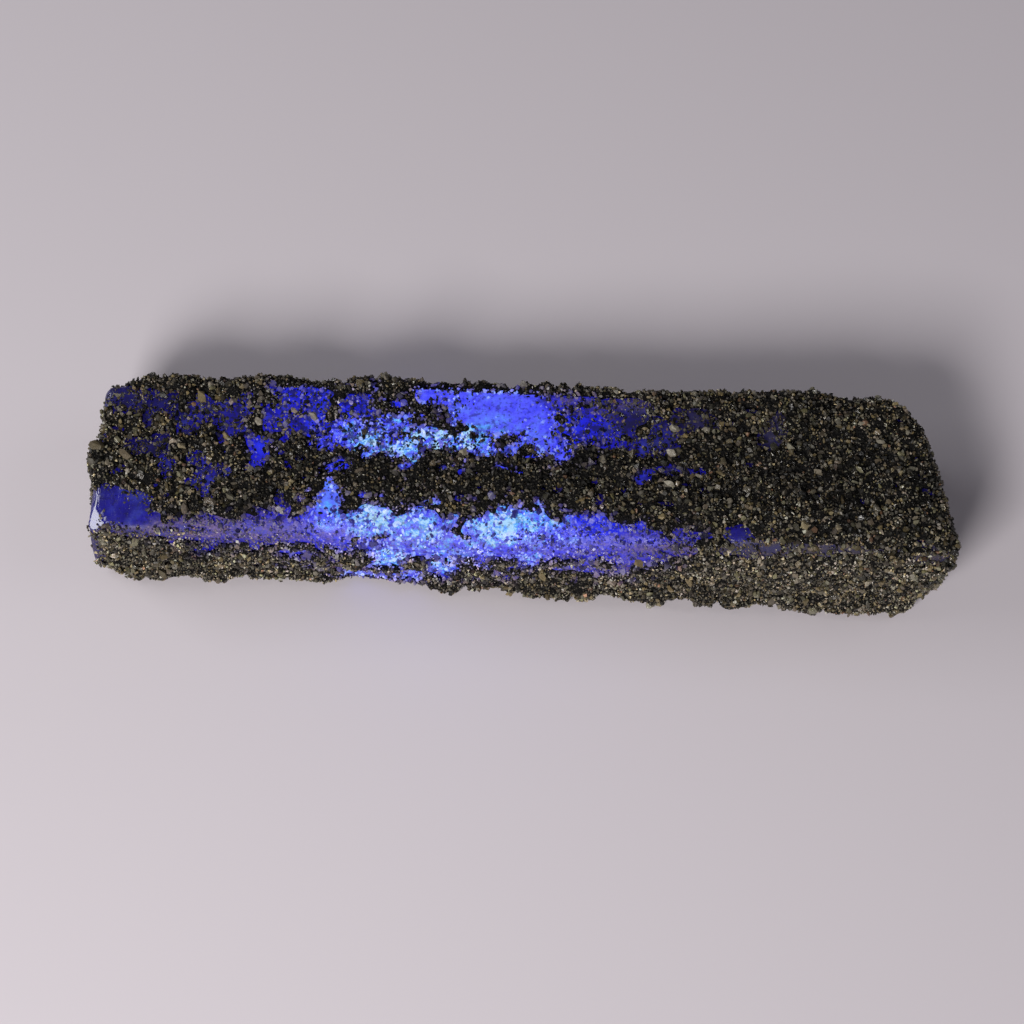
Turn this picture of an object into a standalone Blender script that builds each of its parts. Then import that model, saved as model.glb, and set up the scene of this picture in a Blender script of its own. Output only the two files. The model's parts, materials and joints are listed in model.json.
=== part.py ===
"""A rough sapphire bar in its crust of sand, as two solids: the blue crystal and the crust round it.

The stone lies along X on its underside, with its left end at -X, its front at -Y and +Z up. Both solids start
from one gridded bar. The crystal is that bar; the crust is the same bar with every grid point pushed out by the
local depth of sand, less the crystal and a hair of clearance, so it is open wherever the sand has come away.

Places on the surface are given as (along, around): along is measured from the crystal's left end, and around is
measured over the skin from the top front edge, positive back across the top and negative down the front.
"""

import math
from typing import NamedTuple

import bmesh
import bpy
from mathutils import Matrix, Vector, noise

MM = 0.001

# The crystal, without its sand.
CRYSTAL_LENGTH = 86.9 * MM
LEFT_SLANT = 1.3 * MM  # how far the left end runs in from front to back
RIGHT_SLANT = 4.4 * MM  # and the right end
RIGHT_CORNER = 1.6 * MM  # extra worn off the back corner of the right end
RIGHT_TOE = 2.6 * MM  # and off the foot of its front corner
EDGE_RADIUS = 1.2 * MM
FRONT_EDGE_RADIUS = 2.1 * MM  # the top front edge is the worn one

# The sand crust.
CRUST_DEPTH = 0.85 * MM
UNDER_DEPTH = 0.9 * MM  # height of the crystal's underside above the table
CLEARANCE = 0.3 * MM  # between the crystal and the crust
BARE_DIP = 0.35 * MM  # how far the crust's skin sinks into the crystal where the sand is gone
SHORE_SLOPE = 0.6  # rise of the sand with distance from a window
BROAD_LUMP = (4.5 * MM, 0.42 * MM)  # size across and rise of the broad lumps
SMALL_LUMP = (2.1 * MM, 0.28 * MM)
RAGGED_EDGE = (3.2 * MM, 0.75 * MM)  # size and depth of the notches round a window
LEAST_SAND = 0.30 * MM  # thinnest sand away from the windows, past the clearance
NOISE_PLACE = Vector((3.7, 11.2, 5.9))
SLIVER = 0.001 * MM  # edges shorter than this are closed up

# Grid cells along, across and up the bar.
CRYSTAL_CELLS = (12, 7, 7)
CRUST_CELLS = (66, 14, 10)
EDGE_CELLS = 2  # of those, the cells that each rounded edge takes


class Section(NamedTuple):
    """One cross-section of the crystal: where it is, and its front, back and top."""

    along: float
    front: float
    back: float
    top: float


class Patch(NamedTuple):
    """An oval on the skin of the stone. rise is the extra depth of sand on it, where it is a ridge."""

    along: float
    around: float
    half_length: float
    half_width: float
    rise: float = 0.0


SECTIONS = [
    Section(*(MM * size for size in sizes))
    for sizes in (
        (0.0, 1.0, 16.2, 8.9),
        (4.0, 0.7, 17.0, 9.1),
        (23.0, 0.6, 17.9, 9.8),
        (35.0, 0.4, 17.9, 10.2),
        (52.0, 0.2, 17.5, 10.7),
        (72.0, 0.0, 17.5, 11.4),
        (86.9, 0.0, 17.1, 11.8),
    )
]

# Windows where the crystal shows through the crust, left to right.
WINDOWS = [
    Patch(*(MM * size for size in sizes))
    for sizes in (
        (3.2, 2.9, 3.2, 2.5),  # the bare, glossy left corner
        (6.4, 1.6, 1.9, 1.2),
        (-1.5, -3.6, 3.2, 8.0),  # and on down the upright edge below it
        (10.3, 14.0, 2.1, 1.6),
        (10.8, 7.0, 1.4, 1.4),
        (16.4, 9.4, 1.6, 1.8),
        (17.6, 12.6, 1.2, 2.2),
        (20.6, 15.7, 3.0, 1.9),
        (22.0, 12.5, 1.4, 1.6),
        (25.8, 11.7, 2.2, 1.9),
        (30.4, 11.1, 3.2, 1.6),
        (35.2, 11.3, 2.4, 1.5),
        (35.5, 15.7, 3.2, 1.6),
        (41.0, 14.4, 5.6, 2.7),
        (45.2, 12.6, 2.2, 2.2),
        (50.4, 13.4, 3.2, 2.1),
        (54.2, 14.0, 1.8, 1.6),
        (56.8, 11.9, 1.2, 2.0),
        (23.9, 3.6, 1.4, 1.8),
        (12.5, 0.4, 3.6, 1.2),  # the long bare stretch of the top front edge
        (18.4, 0.3, 3.6, 1.9),
        (24.4, 0.1, 3.4, 2.4),
        (29.0, 0.6, 3.4, 2.4),
        (34.2, 0.3, 3.6, 2.9),
        (39.9, 0.6, 3.2, 2.7),
        (43.8, 1.2, 2.8, 2.1),
        (48.2, 0.5, 2.2, 1.8),
        (51.0, 1.7, 2.2, 1.3),
        (55.8, 0.7, 2.8, 1.2),
        (64.8, 1.3, 1.8, 1.2),
        (75.0, 0.2, 5.6, 1.1),
        (30.2, -4.4, 1.6, 1.3),  # the front face
        (27.7, -8.6, 2.2, 1.3),
        (35.4, -6.2, 1.6, 1.3),
        (49.3, -5.3, 3.2, 1.3),
        (31.0, 24.6, 3.2, 1.7),  # the back face
        (62.5, 23.2, 2.6, 1.5),
        (36.0, -19.5, 6.5, 3.4),  # the underside
    )
]

# Ridges where the sand lies deepest, and hollows where it lies thin.
RIDGES = [
    Patch(*(MM * size for size in sizes))
    for sizes in (
        (24.0, 7.0, 11.0, 2.6, 0.45),  # the dark band along the top
        (45.0, 6.6, 16.0, 3.0, 0.50),
        (8.5, 18.6, 6.5, 3.2, 1.10),  # the rim behind the top, lump by lump
        (19.5, 19.0, 6.0, 3.0, 1.15),
        (28.5, 19.0, 5.0, 2.8, 1.05),
        (35.5, 19.0, 4.0, 2.8, 0.85),
        (47.0, 19.0, 5.0, 2.6, 0.90),
        (72.0, 18.6, 9.0, 2.6, 0.45),
        (57.0, 18.6, 6.0, 3.0, -0.45),  # thin sand on the rim between its lumps
        (-0.8, 7.6, 2.6, 2.8, 1.35),  # the knob on the left end
        (-1.0, 13.0, 3.0, 5.5, -0.45),  # thin sand on the end beside it
        (7.0, -8.6, 5.5, 3.4, 0.55),  # the foot of the front face
        (12.5, -8.8, 3.0, 2.6, 1.10),
        (24.0, -9.4, 3.2, 2.4, 0.45),
        (36.5, -9.8, 4.0, 2.8, 1.00),
        (46.5, -10.2, 6.0, 2.8, 0.85),
        (57.5, -10.6, 6.5, 3.0, 0.60),
        (64.5, -10.6, 3.0, 2.6, 1.00),
        (74.0, -11.0, 7.0, 3.2, 0.80),
        (83.0, -11.4, 5.0, 2.6, 0.95),
        (86.4, 0.0, 2.4, 2.6, 0.55),  # the beak on the right end
    )
]

# Flat rubbed places on the underside, which carry the stone: (along, across, radius).
FEET = [
    tuple(MM * size for size in sizes)
    for sizes in ((8.0, 4.5, 3.4), (8.0, 13.2, 3.2), (58.0, 8.6, 4.2), (78.0, 4.2, 3.4), (76.0, 13.4, 3.4))
]
FOOT_DEPTH = 1.15 * MM


def mix(low, high, share):
    """The value this share of the way from low to high."""
    return low + (high - low) * share


def ease(share):
    """A share from 0 to 1, smoothed at both ends."""
    share = min(max(share, 0.0), 1.0)
    return share * share * (3.0 - 2.0 * share)


def section_at(along):
    """The crystal's cross-section at this distance from its left end."""
    for near, far in zip(SECTIONS, SECTIONS[1:]):
        if along <= far.along:
            break
    share = min(max((along - near.along) / (far.along - near.along), 0.0), 1.0)
    return Section(along, *(mix(a, b, share) for a, b in zip(near[1:], far[1:])))


def end_planes(back_share, up_share):
    """Where the left and right ends are, for a point this share of the way to the back and up the stone."""
    left = LEFT_SLANT * (back_share - 0.3)
    corner = max(0.0, (back_share - 0.75) / 0.25)
    toe = max(0.0, (0.40 - back_share) / 0.40) * (1.0 - up_share)
    right = CRYSTAL_LENGTH - RIGHT_SLANT * back_share - RIGHT_CORNER * corner**2 - RIGHT_TOE * toe
    return left, right


def spread(index, cells, size, radius):
    """Distance of grid line number index from the first edge, with EDGE_CELLS cells on each rounded edge."""
    from_end = cells - index
    if index <= EDGE_CELLS:
        return radius * index / EDGE_CELLS
    if from_end <= EDGE_CELLS:
        return size - radius * from_end / EDGE_CELLS
    return mix(radius, size - radius, (index - EDGE_CELLS) / (cells - 2 * EDGE_CELLS))


class SkinPoint(NamedTuple):
    """A point of the crystal's skin: its place, the way out of the stone, and its (along, around)."""

    place: Vector
    outward: Vector
    along: float
    around: float


def skin_point(steps, cells):
    """The point of the crystal's skin for one vertex of the gridded cube, whose grid steps are given."""
    nominal = spread(steps[0], cells[0], CRYSTAL_LENGTH, EDGE_RADIUS)
    section = section_at(nominal)
    width = section.back - section.front
    across = spread(steps[1], cells[1], width, EDGE_RADIUS)
    up = spread(steps[2], cells[2], section.top, EDGE_RADIUS)
    left, right = end_planes(across / width, up / section.top)
    sharp = Vector((mix(left, right, nominal / CRYSTAL_LENGTH), section.front + across, up))

    toward_front_top = ease((0.45 - across / width) / 0.25) * ease((up / section.top - 0.55) / 0.25)
    radius = mix(EDGE_RADIUS, FRONT_EDGE_RADIUS, toward_front_top)
    core = Vector(
        (
            min(max(sharp.x, left + radius), right - radius),
            min(max(sharp.y, section.front + radius), section.back - radius),
            min(max(sharp.z, radius), section.top - radius),
        )
    )
    outward = (sharp - core).normalized()
    return SkinPoint(core + outward * radius, outward, *unrolled(sharp, steps, cells, section, across, up))


def unrolled(sharp, steps, cells, section, across, up):
    """(along, around) of a grid point. On an end, along runs on from the rim towards the middle of the end."""
    width = section.back - section.front
    if 0 < steps[0] < cells[0]:
        along = sharp.x
    else:
        inset = min(across, width - across, up, section.top - up)
        along = -inset if steps[0] == 0 else CRYSTAL_LENGTH + inset
    sides = {
        "top": section.top - up,
        "front": across,
        "back": width - across,
        "under": up,
    }
    nearest = min(sides, key=sides.get)
    around = {
        "top": across,
        "front": up - section.top,
        "back": width + section.top - up,
        "under": -section.top - across,
    }[nearest]
    return along, around


def girth(section):
    """Distance once round the crystal at a section."""
    return 2.0 * (section.back - section.front + section.top)


def closeness(patch, along, around, once_round):
    """1 in the middle of a patch, 0 at its rim and negative outside it."""
    turn = around - patch.around
    turn -= once_round * round(turn / once_round)
    distance = ((along - patch.along) / patch.half_length) ** 2 + (turn / patch.half_width) ** 2
    return 1.0 - distance**0.5


def inset(patch, along, around, once_round):
    """Rough distance inside a patch's rim, negative outside it."""
    return closeness(patch, along, around, once_round) * min(patch.half_length, patch.half_width)


def bumps(place, size, rise):
    """Height of the lumps of one size at a place."""
    return rise * noise.fractal(place / size + NOISE_PLACE, 1.0, 2.0, 2)


def sand_depth(point):
    """Depth of sand on the crystal at a skin point. It is negative where the sand has come away."""
    if point.outward.z < -0.7 and any(foot_covers(foot, point.place) for foot in FEET):
        return FOOT_DEPTH
    once_round = girth(section_at(point.along))
    depth = CRUST_DEPTH + bumps(point.place, *BROAD_LUMP) + bumps(point.place, *SMALL_LUMP)
    for ridge in RIDGES:
        depth += ridge.rise * ease(closeness(ridge, point.along, point.around, once_round))
    inside = max(inset(patch, point.along, point.around, once_round) for patch in WINDOWS)
    shore = CLEARANCE - SHORE_SLOPE * (inside + bumps(point.place, *RAGGED_EDGE))
    return max(min(max(depth, CLEARANCE + LEAST_SAND), shore), -BARE_DIP)


def foot_covers(foot, place):
    """Whether a place on the underside is on a foot."""
    along, across, radius = foot
    return math.hypot(place.x - along, place.y - across) < radius


def gridded_cube(cells):
    """A bmesh cube from (-1, -1, -1) to (1, 1, 1), each side a grid of the given cells."""
    cube = bmesh.new()
    bmesh.ops.create_cube(cube, size=2.0)
    for axis, count in enumerate(cells):
        lengthwise = [edge for edge in cube.edges if is_along(edge, axis)]
        bmesh.ops.subdivide_edges(cube, edges=lengthwise, cuts=count - 1, use_grid_fill=True)
    return cube


def is_along(edge, axis):
    """Whether an edge of the cube runs along this axis."""
    run = edge.verts[0].co - edge.verts[1].co
    return abs(run[axis]) > 0.99 * run.length


def bar(name, cells, growth):
    """A mesh object of the bar, each skin point moved outward by growth(point)."""
    cube = gridded_cube(cells)
    for vertex in cube.verts:
        steps = [round((value + 1.0) / 2.0 * count) for value, count in zip(vertex.co, cells)]
        point = skin_point(steps, cells)
        vertex.co = point.place + point.outward * growth(point)
        vertex.co.z = max(vertex.co.z, -UNDER_DEPTH)
    bmesh.ops.triangulate(cube, faces=cube.faces)
    bmesh.ops.recalc_face_normals(cube, faces=cube.faces)
    mesh = bpy.data.meshes.new(name)
    cube.to_mesh(mesh)
    cube.free()
    return bpy.data.objects.new(name, mesh)


def clean(mesh):
    """Closes the hair-thin slivers of a cut, and removes the loose crumbs that the windows leave."""
    body = bmesh.new()
    body.from_mesh(mesh)
    bmesh.ops.remove_doubles(body, verts=body.verts, dist=SLIVER)
    bmesh.ops.dissolve_degenerate(body, edges=body.edges, dist=SLIVER)
    bmesh.ops.triangulate(body, faces=body.faces, ngon_method="EAR_CLIP")
    left = set(body.verts)
    pieces = []
    while left:
        piece, edge_of_piece = set(), [left.pop()]
        while edge_of_piece:
            vertex = edge_of_piece.pop()
            piece.add(vertex)
            for edge in vertex.link_edges:
                other = edge.other_vert(vertex)
                if other in left:
                    left.remove(other)
                    edge_of_piece.append(other)
        pieces.append(piece)
    largest = max(pieces, key=len)
    crumbs = [vertex for vertex in body.verts if vertex not in largest]
    bmesh.ops.delete(body, geom=crumbs, context="VERTS")
    body.to_mesh(mesh)
    body.free()


def crust_round(crystal_room, collection):
    """The crust: the sand-deep bar less the room of the crystal."""
    crust = bar("sand_crust", CRUST_CELLS, sand_depth)
    collection.objects.link(crust)
    cut = crust.modifiers.new("crystal_room", "BOOLEAN")
    cut.operation = "DIFFERENCE"
    cut.object = crystal_room
    bpy.context.view_layer.update()
    shaped = bpy.data.meshes.new_from_object(crust.evaluated_get(bpy.context.evaluated_depsgraph_get()))
    crust.modifiers.remove(cut)
    crust.data = shaped
    clean(crust.data)
    return crust


def finish(name, colour, roughness, transmission, ior):
    """A Principled material for one of the two pieces."""
    material = bpy.data.materials.new(name)
    material.use_nodes = True
    shader = material.node_tree.nodes["Principled BSDF"]
    shader.inputs["Base Color"].default_value = (*colour, 1.0)
    shader.inputs["Roughness"].default_value = roughness
    shader.inputs["Transmission Weight"].default_value = transmission
    shader.inputs["IOR"].default_value = ior
    return material


def settle(pieces):
    """Moves the pieces so that the stone's box stands centred over the origin."""
    corners = [vertex.co for piece in pieces for vertex in piece.data.vertices]
    low = Vector(min(corner[axis] for corner in corners) for axis in range(3))
    high = Vector(max(corner[axis] for corner in corners) for axis in range(3))
    middle = (low + high) / 2.0
    for piece in pieces:
        piece.data.transform(Matrix.Translation((-middle.x, -middle.y, -low.z)))


def main():
    for old in list(bpy.data.objects):
        bpy.data.objects.remove(old)
    stone = bpy.data.collections.new("rough_sapphire")
    helpers = bpy.data.collections.new("cutters")
    for collection in (stone, helpers):
        bpy.context.scene.collection.children.link(collection)

    crystal = bar("sapphire_crystal", CRYSTAL_CELLS, lambda point: 0.0)
    stone.objects.link(crystal)
    crystal_room = bar("crystal_room", CRYSTAL_CELLS, lambda point: CLEARANCE)
    crystal_room.hide_render = True
    crystal_room.display_type = "WIRE"
    helpers.objects.link(crystal_room)
    crust = crust_round(crystal_room, stone)
    bpy.data.objects.remove(crystal_room)

    settle([crystal, crust])
    crystal.data.materials.append(finish("deep_blue_sapphire", (0.02, 0.03, 0.45), 0.2, 0.6, 1.77))
    crust.data.materials.clear()
    crust.data.materials.append(finish("dark_sand", (0.07, 0.065, 0.055), 0.8, 0.0, 1.5))
    crystal.data.shade_smooth()
    crystal.data.set_sharp_from_angle(angle=0.6)


main()
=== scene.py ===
"""Dresses a rough sapphire bar: the blue crystal with its painted glow, and the crust of dark sand that clings to
it.

Lengths are in millimetres. A place on the stone is (along, around): along runs from the crystal's left end, and
around runs over its skin from the top front edge, positive back across the top and negative down the front.
The crystal is a finely gridded bar. The crust is a shell of cemented fines on the same grid, open in the windows
where the sand has come away, with tens of thousands of loose-looking grains set into it.
"""

import json
import logging
import math
import random
from dataclasses import dataclass, field
from enum import Enum
from typing import Any, Callable, Iterable, NamedTuple, TypeVar, Union

import bmesh
import bpy
import numpy as np
from bpy.types import Collection, Material, NodeSocket, Object
from mathutils import Matrix, Vector, noise
from mathutils.bvhtree import BVHTree

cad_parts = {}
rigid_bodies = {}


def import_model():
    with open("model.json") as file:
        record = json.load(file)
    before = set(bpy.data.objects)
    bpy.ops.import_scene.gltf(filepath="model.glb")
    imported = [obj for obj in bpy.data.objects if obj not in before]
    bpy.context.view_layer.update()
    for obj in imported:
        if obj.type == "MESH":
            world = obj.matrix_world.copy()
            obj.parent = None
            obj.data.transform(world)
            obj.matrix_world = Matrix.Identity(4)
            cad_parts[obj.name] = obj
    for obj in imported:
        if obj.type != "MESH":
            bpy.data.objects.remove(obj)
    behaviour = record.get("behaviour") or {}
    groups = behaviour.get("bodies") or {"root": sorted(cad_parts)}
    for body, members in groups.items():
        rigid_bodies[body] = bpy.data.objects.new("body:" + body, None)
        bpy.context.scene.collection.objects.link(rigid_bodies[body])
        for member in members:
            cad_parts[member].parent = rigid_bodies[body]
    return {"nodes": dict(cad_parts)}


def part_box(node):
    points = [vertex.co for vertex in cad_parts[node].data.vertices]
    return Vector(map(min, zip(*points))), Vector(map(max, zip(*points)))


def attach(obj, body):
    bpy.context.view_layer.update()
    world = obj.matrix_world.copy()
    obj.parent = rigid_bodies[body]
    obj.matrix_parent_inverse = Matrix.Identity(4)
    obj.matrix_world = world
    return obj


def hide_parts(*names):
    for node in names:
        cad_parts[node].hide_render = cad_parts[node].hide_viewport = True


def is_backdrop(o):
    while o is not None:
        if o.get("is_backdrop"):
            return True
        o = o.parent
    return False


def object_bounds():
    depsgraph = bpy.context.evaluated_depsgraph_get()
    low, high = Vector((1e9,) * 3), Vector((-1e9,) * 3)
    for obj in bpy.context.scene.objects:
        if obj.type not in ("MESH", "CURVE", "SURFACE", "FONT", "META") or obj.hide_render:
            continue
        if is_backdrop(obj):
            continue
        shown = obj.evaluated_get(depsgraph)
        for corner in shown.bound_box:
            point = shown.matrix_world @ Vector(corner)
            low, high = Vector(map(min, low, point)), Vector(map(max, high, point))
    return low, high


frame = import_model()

LOG = logging.getLogger("rough_sapphire")
MM = 0.001
LAYER_FADE, LAYER_SCALE = 1.0, 2.0  # how fast the finer layers of lumps fade, and how many times finer each is
BODY = "root"
CRYSTAL_NODE = "sapphire_crystal"
CRUST_NODE = "sand_crust"

Array = np.ndarray
Pair = tuple[float, float]
Triple = tuple[float, float, float]
Colour = Triple
Stops = tuple[tuple[float, Colour], ...]
Row = TypeVar("Row")


class Side(Enum):
    """A side of the bar."""

    LEFT = 0
    RIGHT = 1
    FRONT = 2
    BACK = 3
    UNDER = 4
    TOP = 5


def srgb(red: int, green: int, blue: int) -> Colour:
    """Turns a display colour, 0 to 255 each, into the linear colour that shaders use."""
    shares = (red / 255, green / 255, blue / 255)
    return tuple(c / 12.92 if c <= 0.04045 else ((c + 0.055) / 1.055) ** 2.4 for c in shares)


def srgb_stops(*rows: tuple[float, int, int, int]) -> Stops:
    """Turns rows of a position and a display colour into a ramp's stops."""
    return tuple((position, srgb(*colour)) for position, *colour in rows)


def rows_of(kind: type[Row], *rows: tuple[Any, ...]) -> tuple[Row, ...]:
    """Makes one thing of a kind from each row of its values."""
    return tuple(kind(*row) for row in rows)


def ease(share: Array) -> Array:
    """Smooths shares from 0 to 1 at both ends, and holds them in that range."""
    held = np.clip(share, 0.0, 1.0)
    return held * held * (3.0 - 2.0 * held)


def ease_from(value: Array, span: Pair) -> Array:
    """Smooth shares: 0 up to the span's start, and 1 from its width further on."""
    return ease((value - span[0]) / span[1])


def mix(first: float, second: float, share: Array) -> Array:
    """The value that lies a share of the way from the first to the second."""
    return first + (second - first) * share


class Lumps(NamedTuple):
    """Soft random lumps: the broadest ones' size, their rise, how many layers they have, and their seed."""

    size: float
    rise: float
    octaves: int
    seed: float

    def at(self, places: Array) -> Array:
        """Reads their heights.

        Args:
            places: Places on the stone.

        Returns:
            The height at each place, about -rise to rise.
        """
        shift = Vector((self.seed, 1.7 * self.seed, -0.6 * self.seed))
        spots = [Vector(place) / self.size + shift for place in places.tolist()]
        return self.rise * np.array([noise.fractal(spot, LAYER_FADE, LAYER_SCALE, self.octaves) for spot in spots])


class Section(NamedTuple):
    """One cross-section of the crystal."""

    along: float
    front: float
    back: float
    top: float


class Chip(NamedTuple):
    """A flat chip at the left front top corner: which way it faces, and how deep it is cut."""

    side: Triple
    depth: float


@dataclass(frozen=True)
class Skin:
    """A gridded skin of the stone, with what is known at each of its points."""

    place: Array
    outward: Array
    along: Array
    around: Array
    girth: Array
    faces: Array
    side: Array
    chipped: Array  # 1 on the flat chips

    def moved(self, depth: Array) -> Array:
        """The places moved outward by a depth at each point."""
        return self.place + self.outward * depth[:, None]

    def away(self, along: float, around: float) -> tuple[Array, Array]:
        """How far each point is from a place, along the bar and round it."""
        turn = self.around - around
        return self.along - along, turn - self.girth * np.round(turn / self.girth)


@dataclass(frozen=True)
class BarForm:
    """The worn bar that the crystal is. Shares of its width start in front, those of its height at the foot."""

    length: float = 86.9
    left_end: Pair = (-0.12, -0.15)  # where it lies at the front and at the back
    left_toe: float = 0.55
    right_toe: float = 2.6
    toe_to: float = 0.40  # the share of the width where the toes end
    right_slant: float = 4.4
    right_corner: float = 1.6
    corner_from: float = 0.75  # the share of the width where that corner starts
    edge_radius: float = 1.2
    front_edge_radius: float = 2.1
    front_to: float = 0.45  # up to this share of the width edges are front ones
    top_from: float = 0.55  # from this share of the height they are top ones
    edge_fade: float = 0.25  # over this share either changes into the other edges
    sharp_radius: Pair = (0.5, 0.9)  # low and high
    sharp_span: Pair = (6.5, 5.5)  # the left's sharp edges reach to the first, and wear away over the second
    chips: tuple[Chip, ...] = rows_of(Chip, ((-0.38, -0.22, 0.89), 0.82), ((-0.37, -0.005, 0.93), 0.29))
    chip_fade: float = 0.02
    sections: tuple[Section, ...] = rows_of(
        Section,
        (0.0, 0.8, 17.2, 8.9),
        (4.0, 0.6, 17.6, 9.1),
        (23.0, 0.6, 17.9, 9.8),
        (35.0, 0.4, 17.9, 10.2),
        (52.0, 0.2, 17.5, 10.7),
        (72.0, 0.0, 17.5, 11.4),
        (86.9, 0.0, 17.1, 11.8),
    )

    def _lines(self, index: Array, cells: int, size: Array, edge_cells: int) -> Array:
        """Where grid lines lie, with finer ones on the rounded edges.

        Args:
            index: Which line each point is on.
            cells: How many cells there are.
            size: The size that they share out.
            edge_cells: How many of them each edge takes.

        Returns:
            How far each point is from the first line.
        """
        from_end = cells - index
        middle_size = size - 2 * self.edge_radius
        middle = self.edge_radius + middle_size * (index - edge_cells) / (cells - 2 * edge_cells)
        low = self.edge_radius * index / edge_cells
        high = size - self.edge_radius * from_end / edge_cells
        return np.where(index <= edge_cells, low, np.where(from_end <= edge_cells, high, middle))

    def _ends(self, back: Array, up: Array) -> tuple[Array, Array]:
        """Where the two ends are.

        Args:
            back: How far back each point lies, as a share of the width.
            up: How far up it lies, as a share of the height.

        Returns:
            How far along the left end and the right end are there.
        """
        corner = np.maximum(0.0, (back - self.corner_from) / (1.0 - self.corner_from))
        toe = np.maximum(0.0, (self.toe_to - back) / self.toe_to) * (1.0 - up)
        left = mix(*self.left_end, back) - self.left_toe * toe
        right = self.length - self.right_slant * back - self.right_corner * corner**2 - self.right_toe * toe
        return left, right

    def skin(self, cells: tuple[int, int, int], edge_cells: int) -> Skin:
        """Lays a grid over the bar.

        Args:
            cells: Grid cells along, across and up the bar.
            edge_cells: How many of them each rounded edge takes.

        Returns:
            The gridded skin.
        """
        steps, faces, side = box_lattice(cells)
        nominal = self._lines(steps[:, 0], cells[0], np.full(len(steps), self.length), edge_cells)
        knots, *sides = zip(*self.sections)
        front, back, top = (np.interp(nominal, knots, values) for values in sides)
        width = back - front
        across = self._lines(steps[:, 1], cells[1], width, edge_cells)
        up = self._lines(steps[:, 2], cells[2], top, edge_cells)
        left, right = self._ends(across / width, up / top)
        sharp = np.stack([left + (right - left) * nominal / self.length, front + across, up], axis=1)

        toward_front = ease((self.front_to - across / width) / self.edge_fade)
        toward_top = ease((up / top - self.top_from) / self.edge_fade)
        radius = self.edge_radius + (self.front_edge_radius - self.edge_radius) * toward_front * toward_top
        sharpened = np.maximum(toward_front, toward_top) * (1.0 - ease_from(nominal, self.sharp_span))
        radius += (mix(*self.sharp_radius, toward_top) - radius) * sharpened
        low = np.stack([left, front, np.zeros_like(top)], axis=1) + radius[:, None]
        high = np.stack([right, back, top], axis=1) - radius[:, None]
        core = np.clip(sharp, low, high)
        outward = sharp - core
        outward /= np.linalg.norm(outward, axis=1)[:, None]

        inset = np.minimum.reduce([across, width - across, up, top - up])
        on_left, on_right = steps[:, 0] == 0, steps[:, 0] == cells[0]
        along = np.where(on_left, -inset, np.where(on_right, self.length + inset, sharp[:, 0]))
        nearest = np.argmin(np.stack([top - up, across, width - across, up]), axis=0)
        around = np.choose(nearest, [across, up - top, width + top - up, -top - across])
        place, chipped = self._chip(core + outward * radius[:, None])
        return Skin(place, outward, along, around, 2 * (width + top), faces, side, chipped)

    def _chip(self, place: Array) -> tuple[Array, Array]:
        """Cuts the flat chips.

        Args:
            place: The points of the uncut bar.

        Returns:
            The points of the chipped bar, and 1 for each that lies on a chip.
        """
        first, chipped = self.sections[0], np.zeros(len(place))
        corner = np.array([self.left_end[0], first.front, first.top])
        for chip in self.chips:
            side = np.array(chip.side) / np.linalg.norm(chip.side)
            over = np.maximum((place - corner) @ side + chip.depth, 0.0)
            place = place - over[:, None] * side
            chipped = np.maximum(chipped, ease(over / self.chip_fade))
        return place, chipped


def box_lattice(cells: tuple[int, int, int]) -> tuple[Array, Array, Array]:
    """The skin of a box of cells.

    Args:
        cells: How many cells each way.

    Returns:
        Each point's grid steps, each face's four points in outward order, and each face's side.
    """
    steps, faces, sides, count = [], [], [], 0
    for axis in range(3):
        first, second = (axis + 1) % 3, (axis + 2) % 3
        rows, columns = cells[first] + 1, cells[second] + 1
        u, v = np.meshgrid(np.arange(rows), np.arange(columns), indexing="ij")
        corner = (np.arange(rows - 1)[:, None] * columns + np.arange(columns - 1)[None, :]).ravel()
        quad = np.stack([corner, corner + columns, corner + columns + 1, corner + 1], axis=1)
        for high in (0, 1):
            grid = np.zeros((rows * columns, 3), dtype=int)
            grid[:, axis] = cells[axis] * high
            grid[:, first], grid[:, second] = u.ravel(), v.ravel()
            steps.append(grid)
            faces.append((quad if high else quad[:, ::-1]) + count)
            sides.append(np.full(len(quad), 2 * axis + high))
            count += len(grid)
    unique, shared = np.unique(np.concatenate(steps), axis=0, return_inverse=True)
    return unique, shared.ravel()[np.concatenate(faces)], np.concatenate(sides)


class Window(NamedTuple):
    """An oval where the sand has come away.

    glow is how brightly the crystal is lit there, from 0 to 1. litter is the share of it that stray grains cover,
    and film is how thickly dust lies on it.
    """

    along: float
    around: float
    half_length: float
    half_width: float
    glow: float
    litter: float = 0.12
    film: float = 0.0


class Area(NamedTuple):
    """A broad area where the crust is full of small holes.

    holes is the share of it that they take. glow and film are as in a window.
    """

    along: float
    around: float
    half_length: float
    half_width: float
    holes: float
    glow: float
    film: float = 0.0


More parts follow.
